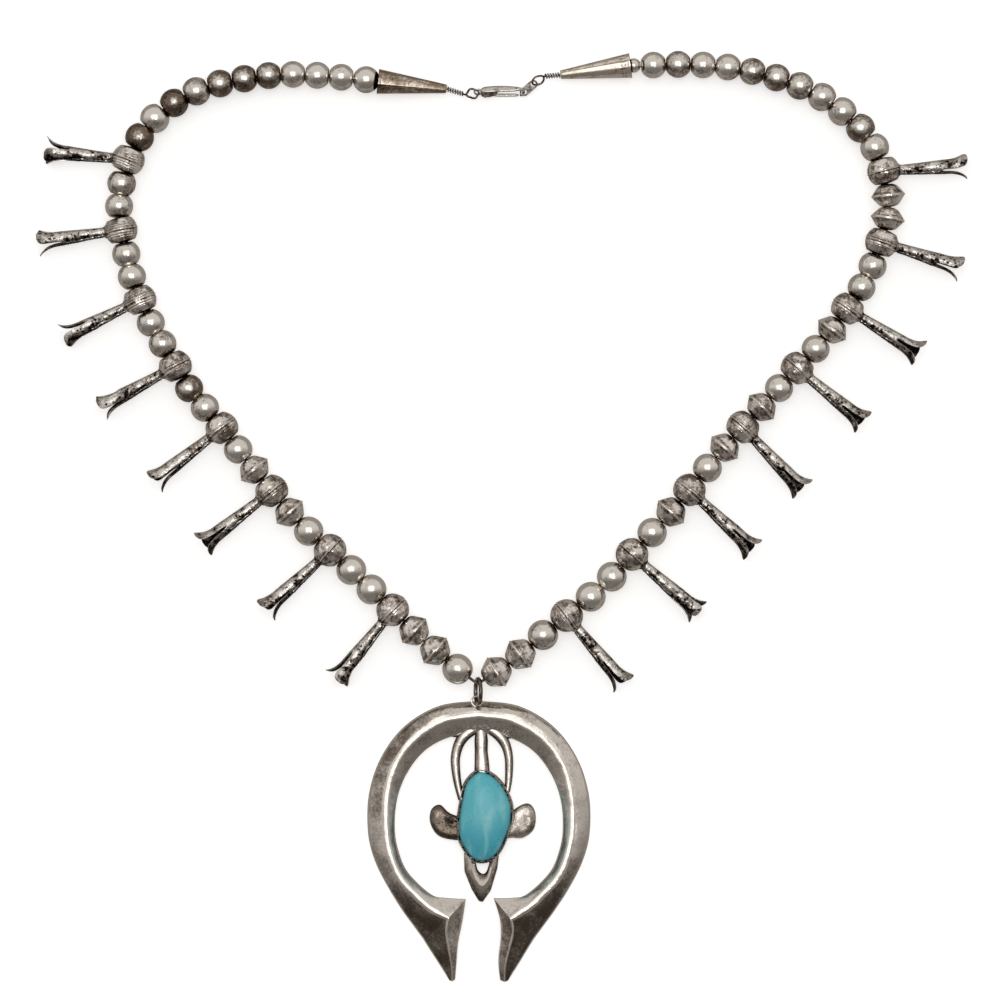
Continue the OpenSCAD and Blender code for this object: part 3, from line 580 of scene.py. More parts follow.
def bicone(a, b, tarnish):
    """Two shallow cones soldered rim to rim: a thin bright seam on a sharp edge, a dark line beside it."""
    half = (np.linalg.norm(b - a) - BETWEEN) / 2
    edge = RIM_ACROSS / 2
    flank = course([
        (BICONE_END / 2, half - 0.3), (3.1, 0.84 * half), (3.75, 0.66 * half), (4.3, 0.48 * half),
        (4.8, 0.31 * half), (5.12, 0.2 * half), (edge - 0.38, 0.5), (edge - 0.16, 0.34)], 5)
    rim = [(edge - 0.02, 0.26), (edge, 0.1), (edge - 0.08, 0.0)]
    hole = [(BORE, half - HOLE_DEPTH), (BORE, half - 0.1), (BORE + 0.12, half),
            (BICONE_END * 0.38, half - 0.08)]
    top = np.array(hole + [tuple(q) for q in flank] + rim)
    low = top[:-1][::-1] * [1, -1]
    turn, place = laid(a, b)
    p, f = grid(turned(np.concatenate([top, low])[::-1], 64, 0.006), closed=True)
    r, h = np.hypot(p[:, 0], p[:, 1]), np.abs(p[:, 2])
    rubbed = ramp(r - edge, -0.3, 0.2)
    groove = hump(r - edge, -0.55, 0.22)
    ends = ramp(h, half * 0.76, half * 0.18)
    return p @ turn.T + place, f, marks(p, 0.6 * tarnish + 0.35 * groove + 0.35 * ends, 0.9 * rubbed)


# blossoms

STEM_REACH = 20  # from the bead's middle to the flower's throat
PETAL_REACH = 27.6  # to the tips, on the first blossom
PETAL_GROWTH = 2  # how much longer the last blossom is
PETAL_LANES = 15
SHEET = 0.4  # thickness of the sheet silver
STEM_DROOP = 1.6  # degrees down to the table
STEM_FOOT = 1.65  # radius at the bead
# degrees each stem points to and is turned by, and how many raised lines its bead has
LEFT_HEADINGS = [174, 188, 206, 209, 218, 218, 222.5, 231]
RIGHT_HEADINGS = [4, -17.5, -32, -39, -46.5, -43, -41, -50]
LEFT_TURNS = [20, -20, 25, -15, -35, 60, -40, 17]
RIGHT_TURNS = [30, 30, 60, 52, 60, 66, 0, 45]
LEFT_LINES = [3, 3, 2, 1, 1, 1, 0, 1]
RIGHT_LINES = [0, 1, 1, 0, 1, 1, 0, 1]


def blossom_bead(a, b, tarnish, lines):
    """Two domes joined by a raised seam, with a groove beside it and fine raised lines beyond."""
    length = np.linalg.norm(b - a) - BETWEEN
    side = bead_side(BLOSSOM_ACROSS - 0.04, length, BORE + 0.9, BEAD_ROWS, 0.2)
    middle = np.linspace(-SEAM_BAND, SEAM_BAND, 100)
    body = side[np.abs(side[:, 1]) > SEAM_BAND + 0.05]
    radius = np.interp(middle, side[:, 1], side[:, 0])
    raised = hump(middle, 0, 0.15)
    sunk = hump(middle, 0.42, 0.16)
    for k in range(lines):
        for place in (1.15 + 0.75 * k, -0.85 - 0.75 * k):
            raised = raised + 0.45 * hump(middle, place, 0.12)
            sunk = sunk + 0.5 * hump(middle - place, 0.28, 0.12)
    radius = radius + 0.26 * raised - 0.16 * sunk
    band = np.stack([radius, middle], 1)
    side = np.concatenate([body[body[:, 1] < 0], band, body[body[:, 1] > 0]])
    turn, place = laid(a, b)
    p, f = grid(turned(drilled(side), 72, 0.005), closed=True)
    h = p[:, 2]
    bright = np.interp(h, middle, raised, 0, 0)
    dark = np.interp(h, middle, sunk, 0, 0)
    ends = ramp(np.abs(h), length * 0.38, length * 0.08)
    return p @ turn.T + place, f, marks(p, tarnish + 0.6 * dark + 0.5 * ends, 0.9 * bright)


def flower(reach, seam_side):
    """The hollow stem and its three petals along +X: an outer and an inner skin joined at the cut edges."""
    start = BLOSSOM_ACROSS / 2 - 0.35
    throat = STEM_REACH - 1.4
    # length along the stem, outer radius, half the angle that a petal takes
    widths = [
        (start, STEM_FOOT, 60), (start + 0.7, STEM_FOOT + 0.02, 60), (9, 1.8, 60), (13, 2.02, 60),
        (throat, 2.36, 60), (STEM_REACH, 2.45, 50), (reach - 5.6, 2.52, 47), (reach - 4.2, 2.7, 45),
        (reach - 2.9, 3.02, 42), (reach - 1.7, 3.52, 38), (reach - 0.8, 4.05, 31), (reach - 0.3, 4.42, 22),
        (reach, 4.66, 9)]
    lane = course(widths, 4)
    lane = lane[np.concatenate([[True], np.diff(lane[:, 0]) > 1e-6])]
    x = lane[:, 0]
    flare = ramp(x, throat, reach - throat)
    thin = SHEET * (1 - 0.45 * flare)
    slope = np.gradient(lane[:, 1], x)
    across = np.linspace(-1, 1, PETAL_LANES)
    parts = []
    for middle in (0, 120, 240):
        lift, swing = chance.uniform(-0.3, 0.3), chance.uniform(-5, 5)
        r = lane[:, 1] + lift * flare ** 3
        angle = np.radians(middle + (swing * flare ** 2)[:, None] + lane[:, 2:3] * across)
        cup = r[:, None] * (1 + 0.05 * flare[:, None] * across ** 2)
        outer = np.stack([np.repeat(x[:, None], PETAL_LANES, 1), -np.sin(angle) * cup,
                          np.cos(angle) * cup], -1)
        shrink = (1 - thin / r)[:, None]
        inside = np.stack([outer[..., 0] + (thin * slope / np.hypot(1, slope))[:, None],
                           outer[..., 1] * shrink, outer[..., 2] * shrink], -1)
        # tarnish by the open seam, and painted shade: the seam side of every stem faces the dim side of the
        # room, and its darkening stands partly for the shade there
        seam_tarnish_and_shade = np.clip(np.cos(angle - math.radians(seam_side)), 0, 1) ** 2
        for skin, flip, dark in ((outer, True, 0.08 + 0.6 * seam_tarnish_and_shade.ravel()), (inside, False, 0.8)):
            p, f = grid(skin, flip=flip)
            parts.append((p, f, marks(p, dark)))
        # the petal's cut edge, from the throat round its tip
        free = x >= throat - 0.01
        rim_out = np.concatenate([outer[free, 0], outer[-1, 1:-1], outer[free, -1][::-1]])
        rim_in = np.concatenate([inside[free, 0], inside[-1, 1:-1], inside[free, -1][::-1]])
        p, f = grid(np.stack([rim_out, rim_in]))
        parts.append((p, f, marks(p, 0.0, 0.5)))
    parts.append(open_seam(lane, start + 0.9, throat - 0.2, seam_side))
    # the solder run round the foot of the stem
    foot = [(STEM_FOOT + 0.6, start - 0.1), (STEM_FOOT + 0.34, start + 0.14), (STEM_FOOT + 0.1, start + 0.42),
            (STEM_FOOT, start + 0.85)]
    p, f = grid(turned(foot, 32, 0.05), closed=True, flip=True)
    parts.append((np.stack([p[:, 2], p[:, 1], -p[:, 0]], -1), f, marks(p, 0.4)))
    return parts


def open_seam(lane, start, stop, seam_side):
    """The lapped joint along the stem: a ragged black line with a lifted lip on each side."""
    count = 44
    x = np.linspace(start, stop, count)
    r = np.interp(x, lane[:, 0], lane[:, 1])
    wander = np.interp(x, np.linspace(start, stop, 9), chance.uniform(-7, 7, 9))
    ragged = chance.uniform(-1, 1, (count, 7))
    strip, dark, bright = [], [], []
    for j, (off, lift, soot, rub) in enumerate((
            (-24, -0.02, 0.1, 0.0), (-17, 0.1, 0.2, 0.5), (-11, 0.02, 1.2, 0.0), (0, -0.12, 1.4, 0.0),
            (11, 0.02, 1.2, 0.0), (17, 0.12, 0.3, 0.6), (24, -0.02, 0.1, 0.0))):
        rough = 0 if j in (0, 6) else 1
        angle = np.radians(seam_side + wander + off + 5 * rough * ragged[:, j])
        radius = r + lift + 0.05 * rough * ragged[:, (j + 3) % 7]
        strip.append(np.stack([x, -np.sin(angle) * radius, np.cos(angle) * radius], -1))
        dark.append(np.full(count, soot))
        bright.append(np.full(count, rub))
    p, f = grid(np.array(strip).swapaxes(0, 1), flip=True)
    return p, f, marks(p, np.array(dark).T.ravel(), np.array(bright).T.ravel())


def blossom(name, node, a, b, heading, turn, growth, tarnish, lines, seam_side, bead_finish, stem_finish):
    """A blossom bead and its flower, which lies just clear of the table."""
    place = (a + b) / 2
    lay = about("z", heading) @ about("y", STEM_DROOP) @ about("x", -turn)
    stem = []
    for p, f, m in flower(PETAL_REACH + PETAL_GROWTH * growth, seam_side + turn):
        p = p @ lay.T + place
        p[:, 2] = np.maximum(p[:, 2], 0.04)
        stem.append((p, f, m))
    piece(name + "_stem", stem, stem_finish, "blossom_silver", crease=50)
    piece(name + "_bead", [blossom_bead(a, b, tarnish, lines)], bead_finish, "blossom_silver", node)


# pendant

# the middle of the crescent's circle; its rows below are measured from it
PENDANT = np.array([-7.6, -98.7])
# turn from the top, outer radius, crest radius, inner radius, crest height
BAND = [
    (0, 37.6, 33.0, 26.8, 4.0), (20, 38.3, 33.2, 27.3, 4.0), (40, 38.3, 33.0, 27.7, 4.0),
    (60, 37.7, 32.3, 27.5, 4.0), (80, 37.3, 31.3, 27.7, 4.0), (100, 37.6, 31.5, 28.5, 4.0),
    (115, 38.2, 32.6, 29.6, 4.1), (130, 39.2, 33.9, 30.8, 4.2)]
# outer edge, crest, inner edge, crest height
RIGHT_END = [
    ((25.3, -32.5), (18.5, -29.6), (16, -27), 4.4), ((21.8, -37.3), (14.8, -32.3), (11, -28.2), 4.6),
    ((18.5, -41.8), (10.7, -35), (5, -28.3), 4.8), ((16.3, -45.3), (11.4, -39.6), (7, -35), 4.3),
    ((13.4, -50.1), (10, -45.5), (7.3, -41.5), 3.4), ((11.3, -53.4), (8.8, -51), (6.5, -49), 2.4),
    ((9.9, -55.7), (8.6, -56.2), (7.1, -55.6), 1.4)]
LEFT_END = [
    ((25.5, -32.5), (18.5, -29.6), (16, -27), 4.4), ((22, -37.3), (14.8, -32.3), (11, -28.2), 4.6),
    ((18.7, -41.8), (10.1, -34.7), (4.4, -28.6), 4.8), ((16.5, -45.3), (10.8, -39.6), (5.4, -35.5), 4.3),
    ((13.4, -50.1), (10, -45.5), (6.9, -43.2), 3.4), ((11.3, -53.4), (9.1, -51), (7.5, -50.2), 2.4),
    ((9.9, -55.7), (8.9, -56), (7.9, -55.4), 1.4)]
BAND_EDGE = 1.2  # height of the filed outer edge
INNER_EDGE = 1.9  # and of the inner one
CREST = 1.05  # half the width of the rounded crest
SLOPE, SLOPE_RISE = 5.15, 1.9  # width and rise of the inner slope
ORNAMENT = 2.6  # height of the drop's ridge
LEFT_LEAF = [
    (-12, -107), (-17, -107.4), (-21.5, -105.8), (-23.9, -101.5), (-23.4, -97.3), (-20.6, -95.8),
    (-17.6, -98.4), (-13, -101)]
RIGHT_LEAF = [
    (0.5, -106.6), (3.6, -106.8), (7.2, -106.8), (10.8, -103.8), (11.3, -98.6), (9.3, -95.5), (6, -96.2),
    (2.5, -99.5)]
DROP = [
    (-12.6, -112), (-12.4, -118), (-10, -124), (-7.6, -128), (-6.3, -128.2), (-3.6, -124.4), (-1.4, -117),
    (-0.8, -112)]
DROP_OPENING = [(-8.4, -113.5), (-8, -117.4), (-6.2, -118.9), (-4.8, -117.6), (-4.2, -113.5)]
STONE = [
    (-7.1, -84.4), (-3.2, -85.7), (0.1, -88.9), (2.6, -93.6), (3.4, -97.3), (3, -102.3), (1.5, -106.6),
    (-0.6, -111), (-3.5, -113.9), (-7.1, -114.7), (-10, -113.5), (-12.6, -110.2), (-14.2, -106.6),
    (-14.6, -102.3), (-14, -97.3), (-13.3, -93.6), (-12.2, -89), (-10, -86)]
STONE_MIDDLE = np.array([-5.7, -99.5])
STONE_FOOT, STONE_TOP = 1.4, 7.6
BEZEL_TEETH = 78
TOOTH_STEPS = 6
DROP_MIDDLE = np.array([-6.3, -116.0])
# share of the outline's width, height
LEAF_RINGS = [(1.0, 0.9), (0.985, 1.3), (0.94, 1.75), (0.85, 2.15), (0.72, 2.42), (0.52, 2.56), (0.28, 2.6)]
# x, y, width, height of the top
MIDDLE_BAR = [
    (-6.9, -69.6, 3.4, 2.1), (-6.9, -71.2, 3.7, 2.4), (-6.8, -74.2, 4.5, 2.6), (-6.8, -78, 4.4, 2.6),
    (-6.6, -82, 4.9, 2.6), (-6.5, -86, 5.3, 2.6)]
LEFT_BAR = [
    (-7.6, -70.1, 3.0, 2.3), (-9.9, -70.9, 3.7, 2.6), (-12.5, -72.8, 3.9, 2.8), (-14.4, -75.9, 3.5, 2.7),
    (-15.4, -80, 3.2, 2.6), (-15.3, -84, 3.0, 2.6), (-14.6, -89, 2.6, 2.6), (-13.4, -94, 2.2, 2.6)]
RIGHT_BAR = [
    (-5.4, -70.0, 3.0, 2.3), (-2.9, -71.0, 3.7, 2.6), (-0.4, -73.0, 3.9, 2.8), (1.5, -76.2, 3.3, 2.7),
    (2.4, -80, 2.9, 2.7), (2.5, -84, 2.7, 2.6), (2.3, -88, 2.4, 2.6), (1.9, -91.5, 1.8, 2.6)]
# the solder that ran along the crescent at the side bars' feet
FILLETS = [
    [(-17.2, -72.6, 0.8, 1.8), (-15.0, -72.3, 2.0, 2.0), (-12.6, -71.6, 2.8, 2.3), (-9.6, -70.6, 2.6, 2.4)],
    [(3.8, -73.2, 0.8, 1.8), (1.9, -72.7, 2.2, 2.1), (-0.4, -71.8, 3.0, 2.4), (-3.6, -70.6, 2.6, 2.4)]]


def crescent_half(end, side):
    """Rows of outer edge, crest, inner edge and crest height, from the top down to the point."""
    rows = []
    for turn, *radii, height in BAND:
        s, c = math.sin(math.radians(turn)), math.cos(math.radians(turn))
        rows.append([r * way for r in radii for way in (s, c)] + [height])
    tail = [[*o, *r, *i, h] for o, r, i, h in end]
    above = course(rows + tail[:3], 6)
    below = course([tail[2]] + tail[3:], 4)
    whole = np.concatenate([above, below[1:]])
    whole[:, 0::2][:, :3] *= side
    return whole


def crescent():
    """The cast crescent: a filed edge, two soft slopes and a broad rounded crest between bright lines."""
    left_rows, right_rows = crescent_half(LEFT_END, -1), crescent_half(RIGHT_END, 1)
    rows = np.concatenate([left_rows[::-1], right_rows[1:]])
    out, top, ins = [rows[:, i:i + 2] + PENDANT for i in (0, 2, 4)]
    high = rows[:, 6]
    n = len(rows)
    # 1 on the sharp points, 0 on the soft band
    from_point = np.minimum(np.arange(n), np.arange(n)[::-1])
    ending = 1 - ramp(from_point, 12, 10)
    soft = 1 - ending
    crest = CREST * (1 - 0.82 * ending)
    edge = np.minimum(BAND_EDGE, high * 0.62)
    rim = np.minimum(INNER_EDGE, high * 0.62)
    away, inward = out - top, ins - top
    wide, deep = np.linalg.norm(away, axis=1), np.linalg.norm(inward, axis=1)
    section, wear, side_of = [], [], []

    def lay(at, z, rubbed=0.0, side=0):
        """One lane of the section; side is 1 outside the crest and -1 inside it."""
        section.append(ring_at(at, z))
        wear.append(rubbed)
        side_of.append(side)

    def slope(way, length, share, foot, belly):
        """A place on a slope, from its foot at 0 to the crest's line at 1, convex by its belly."""
        at = top + way * (1 - share * (1 - crest / length))[:, None]
        rise = share + belly * math.sin(math.pi * share) * soft
        return at, foot + (high - 0.22 * (1 - 0.6 * ending) - foot) * rise

    lay(out, 0, 0.3, 1)
    lay(out, edge * 0.3, 0.9, 1)
    lay(out - away * (0.42 / wide)[:, None], edge, 0.9, 1)
    lay(out - away * (0.5 / wide)[:, None], edge * 1.04, 0.0, 1)
    for share in (0.14, 0.28, 0.42, 0.56, 0.7, 0.84, 0.95):
        lay(*slope(away, wide, share, edge, 0.2), 0.0, 1)
    lay(*slope(away, wide, 1.0, edge, 0.2), 0.8)
    for share, dip in ((0.6, 0.06), (0, 0.0), (-0.6, 0.06)):
        way, length = (away, wide) if share >= 0 else (inward, deep)
        lay(top + way * (abs(share) * crest / length)[:, None], high - dip * soft, 0.6)
    lay(*slope(inward, deep, 1.0, rim, 0.04), 0.5)
    for share in (0.94, 0.8, 0.6, 0.4, 0.2):
        lay(*slope(inward, deep, share, rim, 0.04), 0.0, -1)
    lay(ins - inward * (0.06 / deep)[:, None], rim, 0.6, -1)
    lay(ins, rim * 0.85, 0.3, -1)
    lay(ins, rim * 0.5, 0.0, -1)
    lay(ins, 0, 0.0, -1)
    p, f = grid(np.array(section).swapaxes(0, 1), closed=True, flip=True)
    lanes = len(section)
    ends = [list(range(lanes))[::-1], [(n - 1) * lanes + i for i in range(lanes)]]
    at = p[:, :2] - PENDANT
    turn = np.degrees(np.arctan2(at[:, 0], at[:, 1]))
    outer, ridge, inner = [np.tile(np.array(side_of) == side, n) for side in (1, 0, -1)]
    upper_left = hump(turn, -60, 36)
    right_patch = hump(turn, 62, 12)
    # painted dark reflection: the outer slopes toward the points, and the inner slope at the top, are marked
    # tarnished to stand for the dim room they mirror; the upper-left patch is real tarnish
    lower = ramp(np.abs(turn), 110, 35)
    painted_reflection_top = hump(turn, 0, 30)
    tarnish = outer * (0.06 + 0.46 * upper_left + 0.22 * right_patch + 0.66 * lower)
    pointed = np.repeat(ending, lanes)
    tarnish = tarnish + inner * (0.16 + 0.1 * painted_reflection_top + 0.3 * pointed)
    return p, f.tolist() + ends, marks(p, tarnish, np.tile(wear, n) + 0.5 * ridge * pointed)


def half_round(line, tarnish):
    """A half-round bar along a line of x, y, width and height, soldered down at both ends."""
    rows = course(line, 8)
    half = beside(rows) * rows[:, 2:3] / 2
    lanes, straight = 13, 0.6  # straight is the height of the sides, up to where the top curves over
    mesh = np.zeros((len(rows), lanes + 2, 3))
    mesh[:, 0, :2] = rows[:, :2] + half
    mesh[:, -1, :2] = rows[:, :2] - half
    for j, w in enumerate(np.linspace(0, math.pi, lanes)):
        mesh[:, j + 1, :2] = rows[:, :2] + half * math.cos(w)
        mesh[:, j + 1, 2] = straight + (rows[:, 3] - straight) * math.sin(w) ** 0.75
    p, f = grid(mesh, flip=True)
    lane = np.tile(np.arange(lanes + 2), len(rows))
    off = np.abs(lane - (lanes + 1) / 2)
    return p, f, marks(p, tarnish + 0.13 * off, 0.7 * (off < 1.6))


def domed(outline, centre, dent, tarnish):
    """A leaf: rings from its outline up to a soft dome; dent is its place, size and depth."""
    edge = closed_course(outline, 8)
    centre = np.array(centre, float)
    mesh = np.array([ring_at(edge, 0)] + [ring_at(centre + (edge - centre) * s, z) for s, z in LEAF_RINGS])
    place, size, depth = dent
    near = np.exp(-np.sum(((mesh[..., :2] - place) / size) ** 2, -1))
    mesh[1:, :, 2] -= depth * near[1:]
    p, f = grid(mesh, closed=True)
    rows, n = mesh.shape[:2]
    p = np.concatenate([p, [[*centre, mesh[-1, :, 2].mean()]]])
    dark = np.append(near.ravel(), near[-1].mean())
    rim = np.append(np.repeat(np.arange(rows) < 3, n), False)
    return (p, f.tolist() + fan(rows - 1, n, rows * n),
            marks(p, tarnish + 0.6 * dark * (depth > 0.6) + 0.2 * rim))


def crossed(outline, centre, way):
    """Distance from centre along way to an outline."""
    best = 0.0
    corners = np.array(outline) - centre
    for a, b in zip(corners, np.roll(corners, -1, 0)):
        d = b - a
        under = way[0] * d[1] - way[1] * d[0]
        if abs(under) < 1e-9:
            continue
        t = (a[0] * d[1] - a[1] * d[0]) / under
        u = (a[0] * way[1] - a[1] * way[0]) / under
        if t > 0 and -1e-9 <= u <= 1 + 1e-9:
            best = max(best, t)
    return best


def lower_drop():
    """The pierced drop: two slopes meeting in a bright V, round the opening."""
    ways = circle(144)
    outside, opening = [np.array([crossed(outline, DROP_MIDDLE, w) for w in ways])
                        for outline in (DROP, closed_course(DROP_OPENING, 4))]
    low = np.clip(-ways[:, 1], 0, 1)
    ridge = opening + (outside - opening) * (0.38 + 0.06 * low)
    for _ in range(6):
        ridge = (np.roll(ridge, 1) + ridge + np.roll(ridge, -1)) / 3
    rows = [ring_at(DROP_MIDDLE + ways * r[:, None], z) for r, z in (
        (outside, 0), (outside, 0.9), (outside - 0.2, 1.15), (outside - (outside - ridge) * 0.5, 2.0),
        (ridge + 0.2, 2.5), (ridge, ORNAMENT), (ridge - 0.2, 2.5), (opening + 0.15, 1.2), (opening, 1.0),
        (opening, 0))]
    p, f = grid(np.array(rows), closed=True)
    lane = np.repeat(np.arange(len(rows)), len(ways))
    tarnish = 0.65 - 0.2 * (lane == 3) + 0.2 * (lane > 6)
    return p, f, marks(p, tarnish, 0.9 * np.isin(lane, (4, 5, 6)))


def grown(outline, d):
    """An outline moved inward by d, which is one distance or one for each point; outward below 0."""
    ahead = np.roll(outline, -1, 0) - np.roll(outline, 1, 0)
    n = np.stack([ahead[:, 1], -ahead[:, 0]], 1) / np.linalg.norm(ahead, axis=1)[:, None]
    return outline + n * np.reshape(d, (-1, 1))


def evenly(outline, count):
    """An outline with its points at equal distances."""
    shut = np.concatenate([outline, outline[:1]])
    run = np.concatenate([[0], np.cumsum(np.linalg.norm(np.diff(shut, axis=0), axis=1))])
    at = np.linspace(0, run[-1], count, endpoint=False)
    return np.stack([np.interp(at, run, shut[:, 0]), np.interp(at, run, shut[:, 1])], 1)


def bezel():
    """The saw-tooth strip: a thin wall round the stone whose teeth are pushed in over its edge."""
    count = BEZEL_TEETH * TOOTH_STEPS
    edge = evenly(closed_course(STONE, 12), count)
    tooth = 1 - np.abs((np.arange(count) % TOOTH_STEPS) - 3) / 3
    tall = 3.75 + 0.6 * tooth
    rows = [ring_at(grown(edge, d), z) for d, z in (
        (-0.66, 0), (-0.66, 1.2), (-0.56, 1.6), (-0.54, 3.2), (-0.42, tall - 0.2),
        (-0.4 + 0.34 * tooth, tall), (-0.32 + 0.34 * tooth, tall - 0.2), (-0.16, 2.4))]
    p, f = grid(np.array(rows), closed=True, flip=True)
    lane = np.repeat(np.arange(len(rows)), len(edge))
    return p, f, marks(p, 0.25 + 0.9 * (lane > 5) + 0.3 * (lane < 3), 0.6 * np.isin(lane, (4, 5)))


def base_plate():
    """The plate under the stone that the bars and leaves are soldered to."""
    edge = evenly(closed_course(STONE, 12), 120)
    rows = [ring_at(grown(edge, -0.6) * s + STONE_MIDDLE * (1 - s), z)
            for s, z in ((1, 0.0), (1, 1.2), (0.6, 1.25), (0.05, 1.25))]
    p, f = grid(np.array(rows), closed=True, flip=True)
    return p, f, marks(p, 1.0)


def solder_grains(places, count, spread, size, height, tarnish):
    """Lumps where the solder froze rough, strewn about places on a surface of this height."""
    parts = []
    ways = circle(8)
    for place in places:
        for _ in range(count):
            at = chance.normal(place, spread)
            r = size * chance.uniform(0.6, 1.2)
            z = height(*at)
            rows = []
            for s, h in ((1.25, -0.5), (1.0, 0.1), (0.75, 0.55), (0.4, 0.85), (0.05, 0.95)):
                reach = r * s * (1 + chance.uniform(-0.18, 0.18, len(ways)))
                rows.append(ring_at(at + ways * reach[:, None], z + h * r))
            p, f = grid(np.array(rows), closed=True)
            parts.append((p, f, marks(p, tarnish, 0.1)))
    return parts


def crescent_height(x, y):
    """How high the crescent's inner slope is under a place."""
    r = math.hypot(x - PENDANT[0], y - PENDANT[1])
    return INNER_EDGE + SLOPE_RISE * ramp(r, BAND[0][3], SLOPE)


def pendant_loop():
    """The flat soldered loop on top of the crescent, its hole round the bail."""
    middle, hole, wall, low, high = np.array([-8.3, -61.15]), 1.35, 0.6, 2.1, 2.9
    ways = circle(48)
    rows = [ring_at(middle + ways * (hole + wall / 2 + w), z) for w, z in (
        (-wall / 2, low + 0.1), (-wall / 2, high - 0.1), (-wall / 4, high), (wall / 4, high),
        (wall / 2, high - 0.15), (wall / 2, low + 0.1), (-wall / 2, low + 0.1))]
    p, f = grid(np.array(rows), closed=True)
    foot = middle + (0, -2.7)
    knob = [ring_at(foot + ways * (1.7 * s, 1.0 * s), z) for s, z in (
        (1.0, 1.6), (0.95, 2.4), (0.7, 2.85), (0.3, 3.0), (0.02, 3.02))]
    q, g = grid(np.array(knob), closed=True)
    return [(p, f, marks(p, 0.1, 0.4)), (q, g, marks(q, 0.1, 0.4))]


def stone():
    """A freeform cabochon: an upright girdle, a low dome and a soft ridge near its right side."""
    edge = grown(closed_course(STONE, 8), 0.34)
    profile = [
        (1, STONE_FOOT), (1, 2.6), (1, 3.5), (0.988, 3.95), (0.965, 4.4), (0.93, 4.95), (0.89, 5.42),
        (0.84, 5.88), (0.79, 6.22), (0.74, 6.5), (0.66, 6.83), (0.56, 7.1), (0.44, 7.34), (0.3, 7.5),
        (0.16, 7.58), (0.04, STONE_TOP)]
    right_side = ramp(edge[:, 0], STONE_MIDDLE[0], 7)
    rows = []
    for s, z in profile:
        swell = 0.16 * hump(s, 0.8, 0.06) * right_side
        rows.append(ring_at(STONE_MIDDLE + (edge - STONE_MIDDLE) * s, z + swell))
    p, f = grid(np.array(rows), closed=True, flip=True)
    n, k, top = len(edge), len(profile), len(p)
    p = np.concatenate([p, [[*STONE_MIDDLE, STONE_TOP], [*STONE_MIDDLE, STONE_FOOT]]])
    return p, f.tolist() + fan(k - 1, n, top, flip=True) + fan(0, n, top + 1), marks(p)


# clasp end

# the clasp lies on its side, tipped 55 degrees; sizes along it are from its middle
CLASP_MIDDLE = np.array([-0.6, 142.1, 2.75])
CLASP_UP = np.array([0, math.cos(math.radians(55)), math.sin(math.radians(55))])
CLASP_OUT = np.array([0, -math.sin(math.radians(55)), math.cos(math.radians(55))])
LEFT_POINT, LEFT_MOUTH = (-18.3, 143.1, 3.1), (-41.2, 145.5, 4.5)
RIGHT_POINT, RIGHT_MOUTH = (19.6, 147.8, 3.1), (43, 150.8, 4.5)
HOOK_AT, HOOK_RADIUS, HOOK_END = 6.4, 1.55, -82
EYE_AT = 7.2  # the clasp's own eye
LEFT_EYE, RIGHT_EYE = 1.95, 2.1  # radius of the wire eyes
CONE_WIDE, CONE_NARROW = 4.15, 1.45
CONE_SEAM = 200  # degrees round the cone


def framed(u, v):
    """Two unit ways in a plane: the first as given, the second square to it."""
    u = unit(u)
    return u, np.cross(unit(np.cross(u, v)), u)


def wire_eye(middle, side, face, point, radius, corner, thick, turns):
    """An eye bent from wire and wound round its own neck; corner pulls the ring toward a lozenge."""
    u, v = framed(side, np.cross(face, side))
    middle, point = np.array(middle), np.array(point)
    t = around(60)
    pull = 1 + corner * np.cos(4 * t)
    ring = middle + radius * (pull * np.cos(t))[:, None] * u + radius * (pull * np.sin(t))[:, None] * v
    neck = middle - u * (radius + 0.1)
    run = unit(point - neck)
    reach = np.linalg.norm(point - neck)
    core = [neck + run * s for s in np.linspace(0, reach + 0.5, 12)]
    x, y = framed(np.cross(run, (0, 0, 1)), np.cross(run, np.cross(run, (0, 0, 1))))
    pitch, wound = 0.84, 0.68
    a = np.linspace(0, 2 * math.pi * turns, int(turns * 24))
    along = (0.3 + pitch * a / (2 * math.pi))[:, None]
    coil = point - run * along + wound * (np.cos(a)[:, None] * x + np.sin(a)[:, None] * y)
    parts = []
    for line, size, closed, dark, bright in (
            (ring, thick, True, 0.3, 0.1), (core, 0.3, False, 1.4, 0.0), (coil, 0.25, False, 0.0, 0.4)):
        p, f = wire(line, size, closed=closed)
        parts.append((p, f, marks(p, dark, bright)))
    return parts


def lofted(path, tarnish, depth=0.0):
    """An oval rod in the clasp's own plane along x, y and its half widths in that plane and across it."""
    sides = 20
    rows = course(path, 5)
    cap = np.array([0.0, 0.55, 0.85])
    size = np.ones(len(rows))
    size[:3], size[-3:] = cap, cap[::-1]
    size = np.maximum(size, 0.02)
    a = around(sides)
    reach = rows[:, 2:3] * size[:, None] * np.cos(a)
    flat = rows[:, None, :2] + beside(rows)[:, None, :] * reach[..., None]
    out = depth + rows[:, 3:4] * size[:, None] * np.sin(a)
    p = np.concatenate([flat, out[..., None]], -1).reshape(-1, 3)
    faces = grid(np.zeros((len(rows), sides, 3)), closed=True, flip=True)[1]
    p = CLASP_MIDDLE + p[:, :1] * (1, 0, 0) + p[:, 1:2] * CLASP_UP + p[:, 2:] * CLASP_OUT
    return p, faces, marks(p, tarnish, 0.1)


